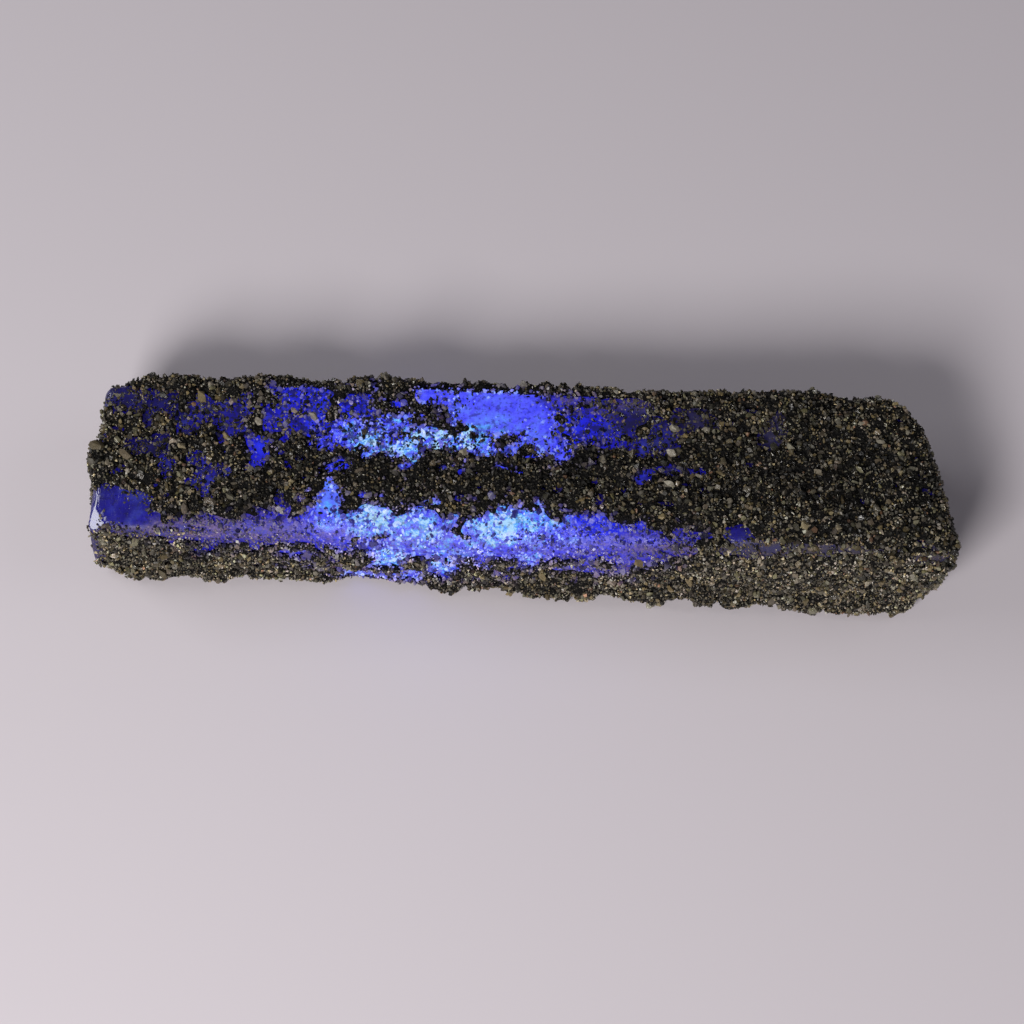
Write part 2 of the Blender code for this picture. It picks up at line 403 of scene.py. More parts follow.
AREAS: tuple[Area, ...] = rows_of(
    Area,
    # The top, from left to right.
    (6.5, 12.6, 6.0, 4.6, 0.17, 0.11),
    (12.0, 7.4, 5.0, 2.2, 0.07, 0.22),
    (19.0, 14.0, 6.0, 4.0, 0.20, 0.38),
    (29.5, 12.6, 6.0, 3.6, 0.22, 0.66),
    (42.5, 11.2, 6.0, 2.2, 0.14, 0.74),
    (54.0, 13.0, 7.0, 3.4, 0.17, 0.22),
    (66.0, 12.4, 5.0, 4.4, 0.05, 0.06, 0.5),
    # The top front edge.
    (4.5, -0.2, 4.5, 0.7, 0.0, 0.20, 1.0),
    (18.0, 0.1, 9.0, 1.5, 0.40, 0.40, 0.8),
    (42.0, 0.8, 15.0, 2.0, 0.40, 0.66, 0.25),
    (73.0, 0.3, 11.0, 0.9, 0.14, 0.04, 0.8),
    # The front face.
    (19.0, -3.0, 6.0, 1.5, 0.10, 0.40, 0.3),
    (33.0, -3.6, 11.0, 3.2, 0.18, 0.74, 0.2),
    (50.0, -3.6, 7.0, 2.8, 0.11, 0.52, 0.4),
    # The back face and the underside.
    (14.0, 22.5, 6.0, 2.2, 0.16, 0.34),
    (31.0, 22.5, 8.0, 2.4, 0.16, 0.56),
    (36.0, -19.5, 12.0, 5.0, 0.20, 0.70),
)


WINDOWS: tuple[Window, ...] = rows_of(
    Window,
    # The left corner and end.
    (1.7, 2.5, 2.3, 2.2, 0.22, 0.02),
    (4.0, 1.9, 2.1, 1.8, 0.25, 0.04),
    (4.5, 3.4, 1.7, 1.1, 0.21, 0.45),
    (5.9, 1.2, 2.2, 1.1, 0.28, 0.05),
    (-0.6, 1.4, 2.0, 3.6, 0.16, 0.0),
    (-2.3, -3.6, 3.0, 8.0, 0.12, 0.05, 0.60),
    (-0.5, -4.6, 1.7, 4.2, 0.14, 0.06, 0.85),
    (-2.2, 14.9, 2.5, 5.2, 0.09, 0.14, 0.55),
    (0.5, 16.0, 2.0, 1.9, 0.09, 0.56),
    (2.9, 14.6, 1.5, 1.1, 0.11, 0.62),
    (5.6, 14.5, 1.9, 1.3, 0.14, 0.60),
    (5.0, 9.4, 1.5, 0.8, 0.09, 0.5),
    (7.2, 7.3, 0.8, 0.9, 0.24, 0.2),
    # Scattered windows on the left part of the top.
    (10.3, 14.0, 1.5, 1.3, 0.24, 0.45),
    (8.9, 11.3, 0.8, 0.7, 0.25, 0.3),
    (12.9, 11.6, 1.1, 1.2, 0.26, 0.65),
    (13.3, 13.7, 1.7, 1.4, 0.26, 0.36),
    (10.3, 8.9, 1.0, 0.6, 0.20, 0.5),
    (10.7, 7.3, 0.6, 0.7, 0.24, 0.55),
    (11.4, 5.9, 0.5, 1.0, 0.30, 0.3),
    (16.4, 9.4, 1.2, 1.5, 0.50, 0.06),
    (17.5, 12.7, 0.8, 2.2, 0.44, 0.25),
    (20.3, 16.0, 2.6, 1.3, 0.53, 0.38),
    (19.5, 13.9, 1.4, 1.1, 0.42, 0.58),
    (21.9, 12.5, 1.0, 1.5, 0.54, 0.60),
    (23.2, 10.2, 0.8, 0.9, 0.60, 0.3),
    # The brightest part of the top, in the middle.
    (25.6, 11.8, 1.6, 1.7, 0.72, 0.5),
    (27.9, 10.8, 1.2, 0.9, 0.92, 0.42),
    (26.0, 14.6, 1.7, 0.9, 0.50, 0.72),
    (31.3, 10.3, 1.9, 1.2, 0.91, 0.62),
    (30.1, 12.7, 1.8, 1.1, 0.72, 0.72),
    (34.0, 11.3, 1.4, 1.1, 0.92, 0.60),
    (36.9, 11.0, 1.4, 1.2, 0.90, 0.60),
    (35.3, 16.6, 3.1, 1.4, 0.70, 0.10),
    (40.7, 14.8, 5.3, 2.8, 0.76, 0.03),
    (45.0, 12.9, 1.8, 1.8, 0.71, 0.06),
    (39.4, 10.9, 0.8, 1.2, 0.84, 0.3),
    (47.2, 10.6, 0.8, 1.1, 0.66, 0.2),
    # The darker right part of the top.
    (50.2, 13.4, 2.9, 1.9, 0.54, 0.48),
    (54.0, 14.3, 1.5, 1.2, 0.10, 0.86),
    (53.5, 15.9, 3.2, 0.8, 0.20, 0.66, 0.6),
    (48.4, 16.2, 2.2, 0.8, 0.44, 0.60, 0.5),
    (56.7, 11.9, 0.8, 2.0, 0.18, 0.30),
    (60.9, 14.3, 2.0, 1.2, 0.04, 0.75, 0.3),
    (68.4, 13.0, 1.2, 1.6, 0.03, 0.80, 0.5),
    (55.7, 7.6, 0.7, 0.5, 0.36, 0.2),
    (57.9, 8.3, 0.8, 0.7, 0.28, 0.3),
    (24.7, 7.6, 0.7, 0.5, 0.62, 0.2),
    (31.9, 8.0, 0.5, 0.4, 0.70, 0.2),
    (60.8, 8.4, 0.6, 0.5, 0.26, 0.3),
    # The top front edge.
    (24.0, 3.8, 1.1, 1.7, 0.80, 0.04),
    (24.4, 1.7, 1.4, 1.0, 0.80, 0.20),
    (5.5, -0.5, 4.6, 0.8, 0.20, 0.80, 0.95),
    (7.4, 0.4, 1.6, 0.8, 0.26, 0.45, 0.85),
    (11.6, 0.6, 4.4, 1.0, 0.31, 0.40, 0.85),
    (18.3, 0.2, 3.5, 1.7, 0.45, 0.42, 0.55),
    (24.0, 0.1, 3.0, 2.2, 0.68, 0.46, 0.45),
    (28.4, 1.2, 3.0, 1.7, 0.97, 0.42, 0.16),
    (33.3, 0.8, 2.6, 2.3, 0.92, 0.52, 0.22),
    (40.7, 0.7, 2.4, 2.0, 0.95, 0.44, 0.12),
    (43.3, 1.9, 2.6, 1.7, 0.91, 0.24),
    (47.8, 0.5, 1.6, 1.6, 0.78, 0.50, 0.20),
    (50.8, 2.0, 2.0, 1.0, 0.56, 0.45),
    (51.5, -0.2, 2.4, 1.0, 0.60, 0.55, 0.35),
    (55.3, 0.7, 2.4, 0.9, 0.48, 0.55, 0.3),
    (60.2, 1.3, 1.8, 0.7, 0.30, 0.55, 0.3),
    (64.8, 1.8, 1.5, 0.9, 0.16, 0.5),
    (74.0, 0.3, 7.0, 0.8, 0.03, 0.84, 0.95),
    # Thin dusty sand below the top front edge.
    (15.5, -1.0, 8.5, 1.1, 0.32, 0.72, 0.80),
    (38.0, -1.7, 14.0, 1.8, 0.68, 0.72, 0.6),
    (56.0, -0.9, 5.6, 1.2, 0.32, 0.74, 0.7),
    (66.0, -0.5, 5.0, 0.8, 0.05, 0.90, 0.95),
    (84.5, -0.8, 2.6, 1.2, 0.03, 0.82, 0.9),
    # The front face.
    (29.8, -4.5, 1.3, 1.1, 1.00, 0.35),
    (33.9, -2.3, 3.0, 1.2, 0.78, 0.56, 0.35),
    (35.5, -6.2, 1.0, 0.9, 0.86, 0.45),
    (27.7, -8.7, 1.9, 1.1, 0.78, 0.15, 0.55),
    (32.3, -8.3, 1.5, 1.1, 0.72, 0.50, 0.2),
    (20.6, -3.6, 1.4, 1.0, 0.60, 0.50, 0.2),
    (44.4, -3.3, 0.9, 1.3, 0.76, 0.45, 0.3),
    (49.3, -5.2, 2.0, 0.9, 0.52, 0.40, 0.80),
    (55.0, -2.6, 2.4, 1.1, 0.50, 0.45, 0.3),
    (53.5, -5.0, 1.3, 0.7, 0.44, 0.50, 0.6),
    (11.5, -3.4, 1.0, 0.9, 0.32, 0.45),
    # The back face and the underside.
    (31.0, 24.6, 3.2, 1.7, 0.55, 0.15),
    (62.5, 23.2, 2.6, 1.5, 0.24, 0.2),
    (17.0, 23.5, 1.2, 0.9, 0.38, 0.3),
    (36.0, -19.5, 6.5, 3.4, 0.85, 0.06),
)


@dataclass(frozen=True)
class Cover:
    """What lies on the crystal at each point of a skin."""

    inside: Array  # how far inside the nearest window, below zero on the crust
    share: Array  # the share of the skin that grains cover
    glow: Array
    film: Array
    ice: Array  # how much of the skin is a crust of tiny clear grains

    def cemented(self, thin: float) -> Array:
        """Whether cemented fines lie there, which stop this little short of the windows."""
        return self.inside < -thin


@dataclass(frozen=True)
class CoverMap:
    """Works out where the crust lies, from the windows, the areas of small holes and the ragged noise of rims."""

    broad_notch: Lumps = Lumps(3.2, 0.50, 2, 5.9)
    fine_notch: Lumps = Lumps(0.85, 0.75, 3, 2.3)
    crisp_rim: float = 0.35  # over this width grains thin out inside the rim of a clean window
    rim: Pair = (0.25, 0.95)  # where much litter lies, that starts this far inside, and takes this much more
    littered: float = 0.30  # the least litter that counts as much
    tighten: float = 0.10  # how much smaller each window is than its oval
    patches: Lumps = Lumps(1.15, 1.0, 3, 3.1)  # where the small holes lie
    hole_depth: float = 1.5
    hole_rim: float = 0.5
    hole_litter: float = 0.35
    stray_holes: Pair = (0.030, 0.006)  # the least share of holes on the left and on the right
    stray_span: Pair = (45.0, 66.0)  # how far along those two are reached
    blend: float = 0.9  # how far a window's light and dust reach, as a share of its size
    dark_weight: float = 1e-3  # how strongly the rest of the crystal pulls towards its own glow and film
    dark_glow: float = 0.06
    dark_film: float = 0.5
    area_litter: float = 0.30
    icy_litter: float = 0.40  # the least litter where the crystal is icy all over

    @staticmethod
    def _squared(skin: Skin, place: Union[Window, Area]) -> Array:
        """How far out each point is from an oval's middle, squared. It is 1 on its rim."""
        along, turn = skin.away(place.along, place.around)
        return (along / place.half_length) ** 2 + (turn / place.half_width) ** 2

    def _hole_depth(self, skin: Skin) -> Array:
        """How far inside a small hole each point is.

        Args:
            skin: The points.

        Returns:
            The depths, below zero outside the holes.
        """
        share = np.interp(skin.along, self.stray_span, self.stray_holes)
        for area in AREAS:
            share = np.maximum(share, area.holes * np.exp(-(self._squared(skin, area) ** 2)))
        patches = self.patches.at(skin.place)
        return self.hole_depth * (patches - np.quantile(patches, 1.0 - share))

    def _bare(self, litter: float, reach: Array) -> Array:
        """How bare a window is.

        Args:
            litter: The window's litter.
            reach: How far inside its rim each point is.

        Returns:
            The share of the skin that no grain covers.
        """
        loose = min(1.0, litter / self.littered)
        width = self.crisp_rim + self.rim[1] * loose
        return (1.0 - litter) * ease((reach - self.rim[0] * loose) / width)

    def at(self, skin: Skin) -> Cover:
        """Reads the cover.

        Args:
            skin: The points to read it at.

        Returns:
            The cover there.
        """
        ragged = self.broad_notch.at(skin.place)
        ragged += self.fine_notch.at(skin.place) - self.tighten
        inside = self._hole_depth(skin)
        share = 1.0 - (1.0 - self.hole_litter) * ease(inside / self.hole_rim)
        weights, ice = np.full(len(share), self.dark_weight), np.zeros(len(share))
        glow, film = weights * self.dark_glow, weights * self.dark_film
        for place in AREAS + WINDOWS:
            squared = self._squared(skin, place)
            weight = np.exp(-squared / self.blend**2) / (place.half_length * place.half_width)
            weights += weight
            glow += weight * place.glow
            film += weight * place.film
            litter = place.litter if isinstance(place, Window) else self.area_litter
            ice += weight * min(1.0, litter / self.icy_litter)
            if isinstance(place, Window):
                reach = (1.0 - np.sqrt(squared)) * min(place.half_length, place.half_width) + ragged
                inside = np.maximum(inside, reach)
                share = np.minimum(share, 1.0 - self._bare(litter, reach))
        return Cover(inside, share, glow / weights, film / weights, ice / weights)


Number = Union["Scalar", float]
Input = Union["Scalar", NodeSocket, float, int, tuple, bpy.types.ID]
Settings = dict[str, Any]
Inputs = dict[Any, Input]


def arithmetic(operation: str, swapped: bool = False) -> Callable[["Scalar", Number], "Scalar"]:
    """Makes an arithmetic method for Scalar.

    Args:
        operation: The Math node's operation.
        swapped: Whether the socket is the second operand.

    Returns:
        The method.
    """

    def method(first: "Scalar", second: Number) -> "Scalar":
        """Joins the two by one Math node."""
        return first.math(operation, second, first) if swapped else first.math(operation, first, second)

    return method


class Scalar:
    """A number socket. Arithmetic on it adds Math nodes."""

    def __init__(self, graph: "Graph", socket: NodeSocket) -> None:
        """Wraps a socket of a graph."""
        self.graph = graph
        self.socket = socket

    def math(self, operation: str, *values: Number, clamp: bool = False) -> "Scalar":
        """Adds one Math node."""
        settings = {"operation": operation, "use_clamp": clamp}
        return self.graph.scalar("ShaderNodeMath", settings, dict(enumerate(values)))

    __add__ = arithmetic("ADD")
    __radd__ = arithmetic("ADD", swapped=True)
    __sub__ = arithmetic("SUBTRACT")
    __rsub__ = arithmetic("SUBTRACT", swapped=True)
    __mul__ = arithmetic("MULTIPLY")
    __rmul__ = arithmetic("MULTIPLY", swapped=True)
    __pow__ = arithmetic("POWER")

    def fraction(self) -> "Scalar":
        """The part after the decimal point."""
        return self.math("FRACT", self)

    def clamped(self) -> "Scalar":
        """Held between 0 and 1."""
        return self.math("ADD", self, 0.0, clamp=True)

    def step(self, low: float, high: float) -> "Scalar":
        """Rises smoothly from 0 at low to 1 at high, or falls where low is the larger."""
        inputs = {"Value": self, "From Min": low, "From Max": high}
        return self.graph.scalar("ShaderNodeMapRange", {"interpolation_type": "SMOOTHSTEP"}, inputs, "Result")


class Graph:
    """A node tree that is being built."""

    def __init__(self, tree: bpy.types.NodeTree) -> None:
        """Starts from an empty tree."""
        self.tree = tree

    def node(self, kind: str, settings: Settings | None = None, inputs: Inputs | None = None) -> Any:
        """Adds a node.

        Args:
            kind: The node's type.
            settings: Its settings. A ramp's stops are under "stops".
            inputs: Values or links for its sockets, by name or number.

        Returns:
            The node.
        """
        node = self.tree.nodes.new(kind)
        for key, value in (settings or {}).items():
            if key == "stops":
                self._set_stops(node.color_ramp, value)
            else:
                setattr(node, key, value)
        for key, value in (inputs or {}).items():
            self._plug(node.inputs[key], value)
        return node

    def _set_stops(self, ramp: bpy.types.ColorRamp, stops: Stops) -> None:
        """Fills a colour ramp.

        Args:
            ramp: The ramp.
            stops: Its stops, in order.
        """
        while len(ramp.elements) > 1:
            ramp.elements.remove(ramp.elements[-1])
        ramp.elements[0].position, ramp.elements[0].color = stops[0][0], (*stops[0][1], 1.0)
        for position, colour in stops[1:]:
            ramp.elements.new(position).color = (*colour, 1.0)

    def _plug(self, socket: NodeSocket, value: Input) -> None:
        """Links or sets one socket.

        Args:
            socket: The socket.
            value: What it is linked to or set to.
        """
        if isinstance(value, Scalar):
            value = value.socket
        if isinstance(value, NodeSocket):
            self.tree.links.new(value, socket)
        elif isinstance(value, tuple) and len(value) == 3 and socket.type == "RGBA":
            socket.default_value = (*value, 1.0)
        else:
            socket.default_value = value

    def scalar(self, kind: str, settings: Settings, inputs: Inputs, output: Any = 0) -> Scalar:
        """Adds a node and wraps one of its number outputs."""
        return Scalar(self, self.node(kind, settings, inputs).outputs[output])


class Pattern(NamedTuple):
    """Soft noise about 0.5, and the values from which and to which its patches rise from 0 to 1."""

    size: float  # its broadest lumps'
    detail: float = 2.0  # how many finer layers it has
    rough: float = 0.5  # how strong they are
    stretch: Triple = (1.0, 1.0, 1.0)
    edge: Pair = (0.0, 1.0)


class Shader(Graph):
    """A material's node tree."""

    def __init__(self, name: str) -> None:
        """Starts an empty material.

        Args:
            name: Its name.
        """
        self.material = bpy.data.materials.new(name)
        self.material.use_nodes = True
        super().__init__(self.material.node_tree)
        self.tree.nodes.clear()

    def attribute(self, name: str) -> Scalar:
        """A number kept on the piece's points."""
        return self.scalar("ShaderNodeAttribute", {"attribute_name": name}, {}, "Fac")

    def place(self, stretch: Triple = (1.0, 1.0, 1.0)) -> NodeSocket:
        """Reads object coordinates.

        Args:
            stretch: How many times longer a pattern on them is each way.

        Returns:
            The coordinates in millimetres.
        """
        place = self.node("ShaderNodeTexCoord").outputs["Object"]
        inputs = {"Vector": place, "Scale": tuple(1.0 / (MM * way) for way in stretch)}
        return self.node("ShaderNodeMapping", None, inputs).outputs["Vector"]

    def noise(self, pattern: Pattern) -> Scalar:
        """Adds soft noise.

        Args:
            pattern: Its sizes.

        Returns:
            The noise, about 0.5.
        """
        inputs = {
            "Vector": self.place(pattern.stretch),
            "Scale": 1.0 / pattern.size,
            "Detail": pattern.detail,
            "Roughness": pattern.rough,
        }
        return self.scalar("ShaderNodeTexNoise", {}, inputs, "Fac")

    def patches(self, pattern: Pattern) -> Scalar:
        """Soft-edged patches of a pattern, 1 inside them and 0 between."""
        return self.noise(pattern).step(*pattern.edge)

    def specks(self, spacing: float, radius: float) -> Scalar:
        """Small dots, 1 at each one's middle and 0 outside it."""
        inputs = {"Vector": self.place(), "Scale": 1.0 / spacing}
        return self.scalar("ShaderNodeTexVoronoi", {}, inputs, "Distance").step(radius / spacing, 0.0)

    def ramp(self, value: Scalar, stops: Stops) -> NodeSocket:
        """Turns a number into a colour."""
        return self.node("ShaderNodeValToRGB", {"stops": stops}, {"Fac": value}).outputs["Color"]

    def blend(self, share: Number, first: Input, second: Input, mode: str = "MIX") -> NodeSocket:
        """Mixes two colours. Their sockets are the node's last ones, which have the same names as its first."""
        settings = {"data_type": "RGBA", "blend_type": mode}
        return self.node("ShaderNodeMix", settings, {0: share, 6: first, 7: second}).outputs[2]

    def bump(self, height: Scalar, distance: float) -> NodeSocket:
        """A normal bent by a height, whose full rise is a distance in millimetres."""
        return self.node("ShaderNodeBump", None, {"Height": height, "Distance": distance * MM}).outputs["Normal"]

    def principled(self, inputs: Inputs) -> NodeSocket:
        """A Principled shader."""
        return self.node("ShaderNodeBsdfPrincipled", None, inputs).outputs[0]

    def finish(self, surface: NodeSocket, volume: NodeSocket | None = None) -> Material:
        """Plugs the finished shader in.

        Args:
            surface: The surface shader.
            volume: The volume shader, if there is one.

        Returns:
            The material.
        """
        inputs = {"Surface": surface} if volume is None else {"Surface": surface, "Volume": volume}
        self.node("ShaderNodeOutputMaterial", None, inputs)
        return self.material


@dataclass(frozen=True)
class SapphireFinish:
    """See-through blue crystal with a painted glow, emission for the light caught inside it, dusty in places."""

    body: Colour = srgb(8, 6, 48)
    haze: Colour = srgb(66, 78, 186)
    dark: Colour = (0.004, 0.003, 0.03)  # its stains and blotches
    # The dust is grey, and violet where the painted glow lights it from beneath.
    dust: Colour = srgb(120, 100, 140)
    grey_dust: Colour = srgb(68, 61, 68)  # where no light is caught under it
    dirt: Colour = srgb(52, 44, 62)
    speck: Colour = srgb(158, 142, 140)
    roughness: float = 0.16
    rough_smears: float = 0.25  # how much rougher it is where it is smeared, and where dust lies
    rough_film: float = 0.6
    dust_roughness: float = 0.8
    uneven: Pair = (0.26, 1.8)  # how uneven its light is, and how much more so among the small clear grains
    ice_glow: Pair = (0.45, 0.85)  # that unevenness grows between these two
    cloudy: float = 0.18
    streaked: float = 0.10
    stained: float = 0.55
    blotched: float = 0.8  # how dark the blotches in the painted glow are among the small clear grains
    hazy: float = 0.32
    haze_in: Pair = (0.10, 0.24)  # haze comes in over this glow
    haze_out: Pair = (0.40, 0.65)  # and goes over this one
    haze_lost: float = 0.8  # how much of it goes
    relief: float = 0.12
    reliefs: Triple = (0.25, 0.4, 1.6)  # how strong its scratches, streaks and crumbs are beside the waves
    dust_relief: float = 0.16
    dust_waves: float = 0.5
    dust_glow: Pair = (0.08, 0.30)  # the dust turns from grey to violet over this glow
    dust_cover: Triple = (0.1, 0.80, 0.5)  # how much of a film lies everywhere, in patches and as specks
    transmission: float = 0.55
    ior: float = 1.77
    absorption: Colour = (0.03, 0.05, 0.62)
    absorption_density: float = 350.0
    clouds: Pattern = Pattern(2.6, 3.0)
    streaks: Pattern = Pattern(0.55, 2.0, 0.5, (1.0, 9.0, 9.0))
    grit: Pattern = Pattern(1.15, 5.0, 0.74)
    stains: Pattern = Pattern(0.42, 3.0, 0.62, edge=(0.36, 0.50))
    blotches: Pattern = Pattern(0.95, 4.0, 0.64, edge=(0.43, 0.51))
    veils: Pattern = Pattern(1.7, 5.0, 0.62, edge=(0.46, 0.72))
    scratches: Pattern = Pattern(0.16, 1.0, 0.5, (7.0, 1.0, 1.0))
    waves: Pattern = Pattern(0.9, 4.0)
    smears: Pattern = Pattern(1.8, 3.0)
    powder: Pattern = Pattern(0.26, 3.0, 0.7, (1.6, 1.0, 1.0), (0.36, 0.58))
    sparse: Pattern = Pattern(0.8, 1.0, edge=(0.4, 0.6))
    drifts: Pattern = Pattern(0.8, 4.0, 0.65, (2.0, 1.0, 1.0), (0.36, 0.60))
    specks: Pair = (0.34, 0.15)  # spacing and radius
    glow_stops: Stops = srgb_stops(
        (0.00, 6, 4, 30),
        (0.14, 14, 9, 88),
        (0.30, 20, 16, 138),
        (0.45, 22, 22, 190),
        (0.57, 26, 40, 232),
        (0.70, 80, 84, 255),
        (0.82, 92, 122, 255),
        (0.92, 84, 176, 255),
        (1.00, 168, 216, 255),
    )

    def _light(self, graph: Shader, glow: Scalar, streaks: Scalar, icy: Scalar) -> NodeSocket:
        """The painted glow: the light caught in the crystal, given as emission.

        Args:
            graph: The material's tree.
            glow: How brightly the crystal is lit.
            streaks: Fine streaks, about 0.
            icy: Unevenness among the small clear grains, about 0.

        Returns:
            The light's colour.
        """
        clouds = graph.noise(self.clouds) - 0.5
        level = glow + clouds * self.cloudy + streaks * self.streaked + icy
        light = graph.ramp(level.clamped(), self.glow_stops)
        shade = graph.patches(self.stains) * self.stained + (1.0 - self.stained)
        light = graph.blend(1.0 - shade, light, self.dark)
        blotches = 1.0 - graph.patches(self.blotches)
        # Blotches darken the painted glow among the small clear grains.
        light = graph.blend(blotches * graph.attribute("dirt") * self.blotched, light, self.dark)
        veiled = glow.step(*self.haze_in) * (1.0 - glow.step(*self.haze_out) * self.haze_lost)
        return graph.blend(graph.patches(self.veils) * veiled * self.hazy, light, self.haze)

    def material(self) -> Material:
        """Builds the shader.

        Returns:
            The material.
        """
        graph = Shader("sapphire")
        glow, film = graph.attribute("glow"), graph.attribute("film")
        streaks = graph.noise(self.streaks) - 0.5
        grit = graph.noise(self.grit) - 0.5
        icy = grit * (glow.step(*self.ice_glow) * graph.attribute("ice") * self.uneven[1] + self.uneven[0])
        scratched, streaked, crumbly = self.reliefs
        relief = graph.noise(self.waves) + graph.noise(self.scratches) * scratched + streaks * streaked
        worn = 1.0 - graph.attribute("chipped")
        smears = graph.noise(self.smears) * self.rough_smears * worn
        crystal = {
            "Base Color": self.body,
            "Roughness": (smears + self.roughness + film * self.rough_film * worn).clamped(),
            "IOR": self.ior,
            "Transmission Weight": self.transmission,
            "Emission Color": self._light(graph, glow, streaks, icy),
            "Emission Strength": 1.0,
            "Normal": graph.bump((relief + icy * crumbly) * worn, self.relief),
        }
        specks = graph.specks(*self.specks)
        powder = graph.noise(self.powder)
        # Dust, violet where the painted glow lights it from beneath.
        pale = graph.blend(glow.step(*self.dust_glow), self.grey_dust, self.dust)
        dusty = graph.blend(powder.step(*self.powder.edge), self.dirt, pale)
        dusty = graph.blend(specks * graph.patches(self.sparse), dusty, self.speck)
        rubble = graph.bump(powder + relief * self.dust_waves, self.dust_relief)
        dust = {"Base Color": dusty, "Roughness": self.dust_roughness, "Normal": rubble}
        everywhere, in_drifts, in_specks = self.dust_cover
        lying = graph.patches(self.drifts) * in_drifts + specks * in_specks + everywhere
        covered = (film * worn * lying).clamped()
        shaders = {0: covered, 1: graph.principled(crystal), 2: graph.principled(dust)}
        surface = graph.node("ShaderNodeMixShader", None, shaders)
        depth = {"Color": self.absorption, "Density": self.absorption_density}
        volume = graph.node("ShaderNodeVolumeAbsorption", None, depth)
        return graph.finish(surface.outputs[0], volume.outputs[0])


@dataclass(frozen=True)
class CementFinish:
    """The dark fines that hold the grains: very small grains with black gaps."""

    grain: float = 0.24
    gap: Pair = (0.75, 0.30)  # how far from a grain's middle the gaps are black, and where they end
    skin: Pattern = Pattern(0.12, 2.0)
    skin_relief: float = 0.4  # beside the gaps'
    relief: float = 0.12
    roughness: float = 0.72
    shine: float = 0.15
    dusty: float = 0.35  # how much lighter it is on the front face: partly dust, partly painted light
    tones: Stops = srgb_stops(
        (0.0, 7, 6, 6),
        (0.45, 13, 12, 12),
        (0.70, 28, 26, 24),
        (0.90, 54, 51, 45),
        (1.0, 90, 86, 77),
    )

    def material(self) -> Material:
        """Builds the shader.

        Returns:
            The material.
        """
        graph = Shader("cemented_fines")
        cells = graph.node("ShaderNodeTexVoronoi", None, {"Vector": graph.place(), "Scale": 1.0 / self.grain})
        gap = Scalar(graph, cells.outputs["Distance"]).step(*self.gap)
        tint = graph.scalar("ShaderNodeSeparateColor", {}, {"Color": cells.outputs["Color"]})
        # Lighter on the front face: partly dust, partly painted light.
        tone = (tint * gap + graph.attribute("dusty") * self.dusty).clamped()
        inputs = {
            "Base Color": graph.ramp(tone, self.tones),
            "Roughness": self.roughness,
            "Specular IOR Level": self.shine,
            "Normal": graph.bump(gap + graph.noise(self.skin) * self.skin_relief, self.relief),
        }
        return graph.finish(graph.principled(inputs))


@dataclass(frozen=True)
class GrainFinish:
    """Sand grains of one tone and tint each, a few pale or rusty, those near the crystal with its painted glow in
    them.
    """

    mottle: Pattern = Pattern(0.28, 3.0, 0.6)
    skin: Pattern = Pattern(0.14, 2.0)
    relief: float = 0.05
    mottled: float = 0.36
    mottled_light: float = 0.7
    tone_span: Pair = (0.035, 0.82)  # the darkest grain's level, and how much lighter the lightest is
    roughness: Pair = (0.14, 0.50)  # the smoothest grain's, and how much rougher the roughest is
    sheen_scale: float = 9.7  # takes the roughness from the hue's later digits
    light: float = 0.95
    lit_from: Pair = (0.05, 0.48)  # the tone from which they catch light, and how much lighter where they are dull
    lit_gain: Pair = (1.2, 3.0)  # how fast it grows with the tone, and how much faster there
    lit_least: float = 0.22
    lit_mottle: Pair = (0.0, 0.3)
    tones: Stops = srgb_stops(
        (0.00, 12, 11, 10),
        (0.12, 26, 25, 22),
        (0.30, 54, 51, 45),
        (0.55, 84, 80, 71),
        (0.80, 114, 109, 98),
        (0.94, 144, 140, 130),
        (1.00, 186, 183, 175),
    )
    tints: Stops = (
        (0.00, (1.02, 1.01, 0.58)),
        (0.16, (0.96, 1.00, 0.88)),
        (0.36, (1.00, 0.97, 0.97)),
        (0.50, (1.12, 0.99, 0.64)),
        (0.66, (1.17, 0.98, 0.57)),
        (0.80, (1.06, 0.93, 0.90)),
        (0.970, (1.00, 0.98, 0.86)),
        (0.978, (1.30, 0.80, 0.54)),
        (1.00, (1.20, 0.70, 0.50)),
    )
    # The painted glow that grains near the crystal give off, as emission.
    lit: Stops = srgb_stops(
        (0.0, 0, 0, 0),
        (0.30, 42, 38, 126),
        (0.60, 92, 98, 228),
        (0.85, 122, 154, 255),
        (1.0, 182, 212, 255),
    )

    def material(self) -> Material:
        """Builds the shader.

        Returns:
            The material.
        """
        graph = Shader("sand_grains")
        tone, hue = graph.attribute("tone"), graph.attribute("hue")
        mottling = graph.noise(self.mottle) - 0.5
        level = tone * self.tone_span[1] + self.tone_span[0] + graph.attribute("shade") + mottling * self.mottled
        tones, tints = graph.ramp(level.clamped(), self.tones), graph.ramp(hue, self.tints)
        dull = graph.attribute("dull")  # where only the lightest grains catch the crystal's light
        clear = (tone - self.lit_from[0] - dull * self.lit_from[1]) * (dull * self.lit_gain[1] + self.lit_gain[0])
        clear = (clear + self.lit_least * (1.0 - dull)).clamped()
        speckled = clear + mottling * self.mottled_light * clear.step(*self.lit_mottle)
        caught = (graph.attribute("shine") * speckled).clamped()
        sheen = (hue * self.sheen_scale).fraction()
        inputs = {
            "Base Color": graph.blend(1.0, tones, tints, "MULTIPLY"),
            "Roughness": sheen * self.roughness[1] + self.roughness[0],
            "Normal": graph.bump(graph.noise(self.skin), self.relief),
            "Emission Color": graph.ramp(caught, self.lit),
            "Emission Strength": self.light,
        }
        return graph.finish(graph.principled(inputs))


@dataclass(frozen=True)
class FloorFinish:
    """Plain pale floor."""

    colour: Colour = srgb(206, 200, 207)
    roughness: float = 0.9

    def material(self) -> Material:
        """Builds the shader."""
        graph = Shader("pale_floor")
        return graph.finish(graph.principled({"Base Color": self.colour, "Roughness": self.roughness}))


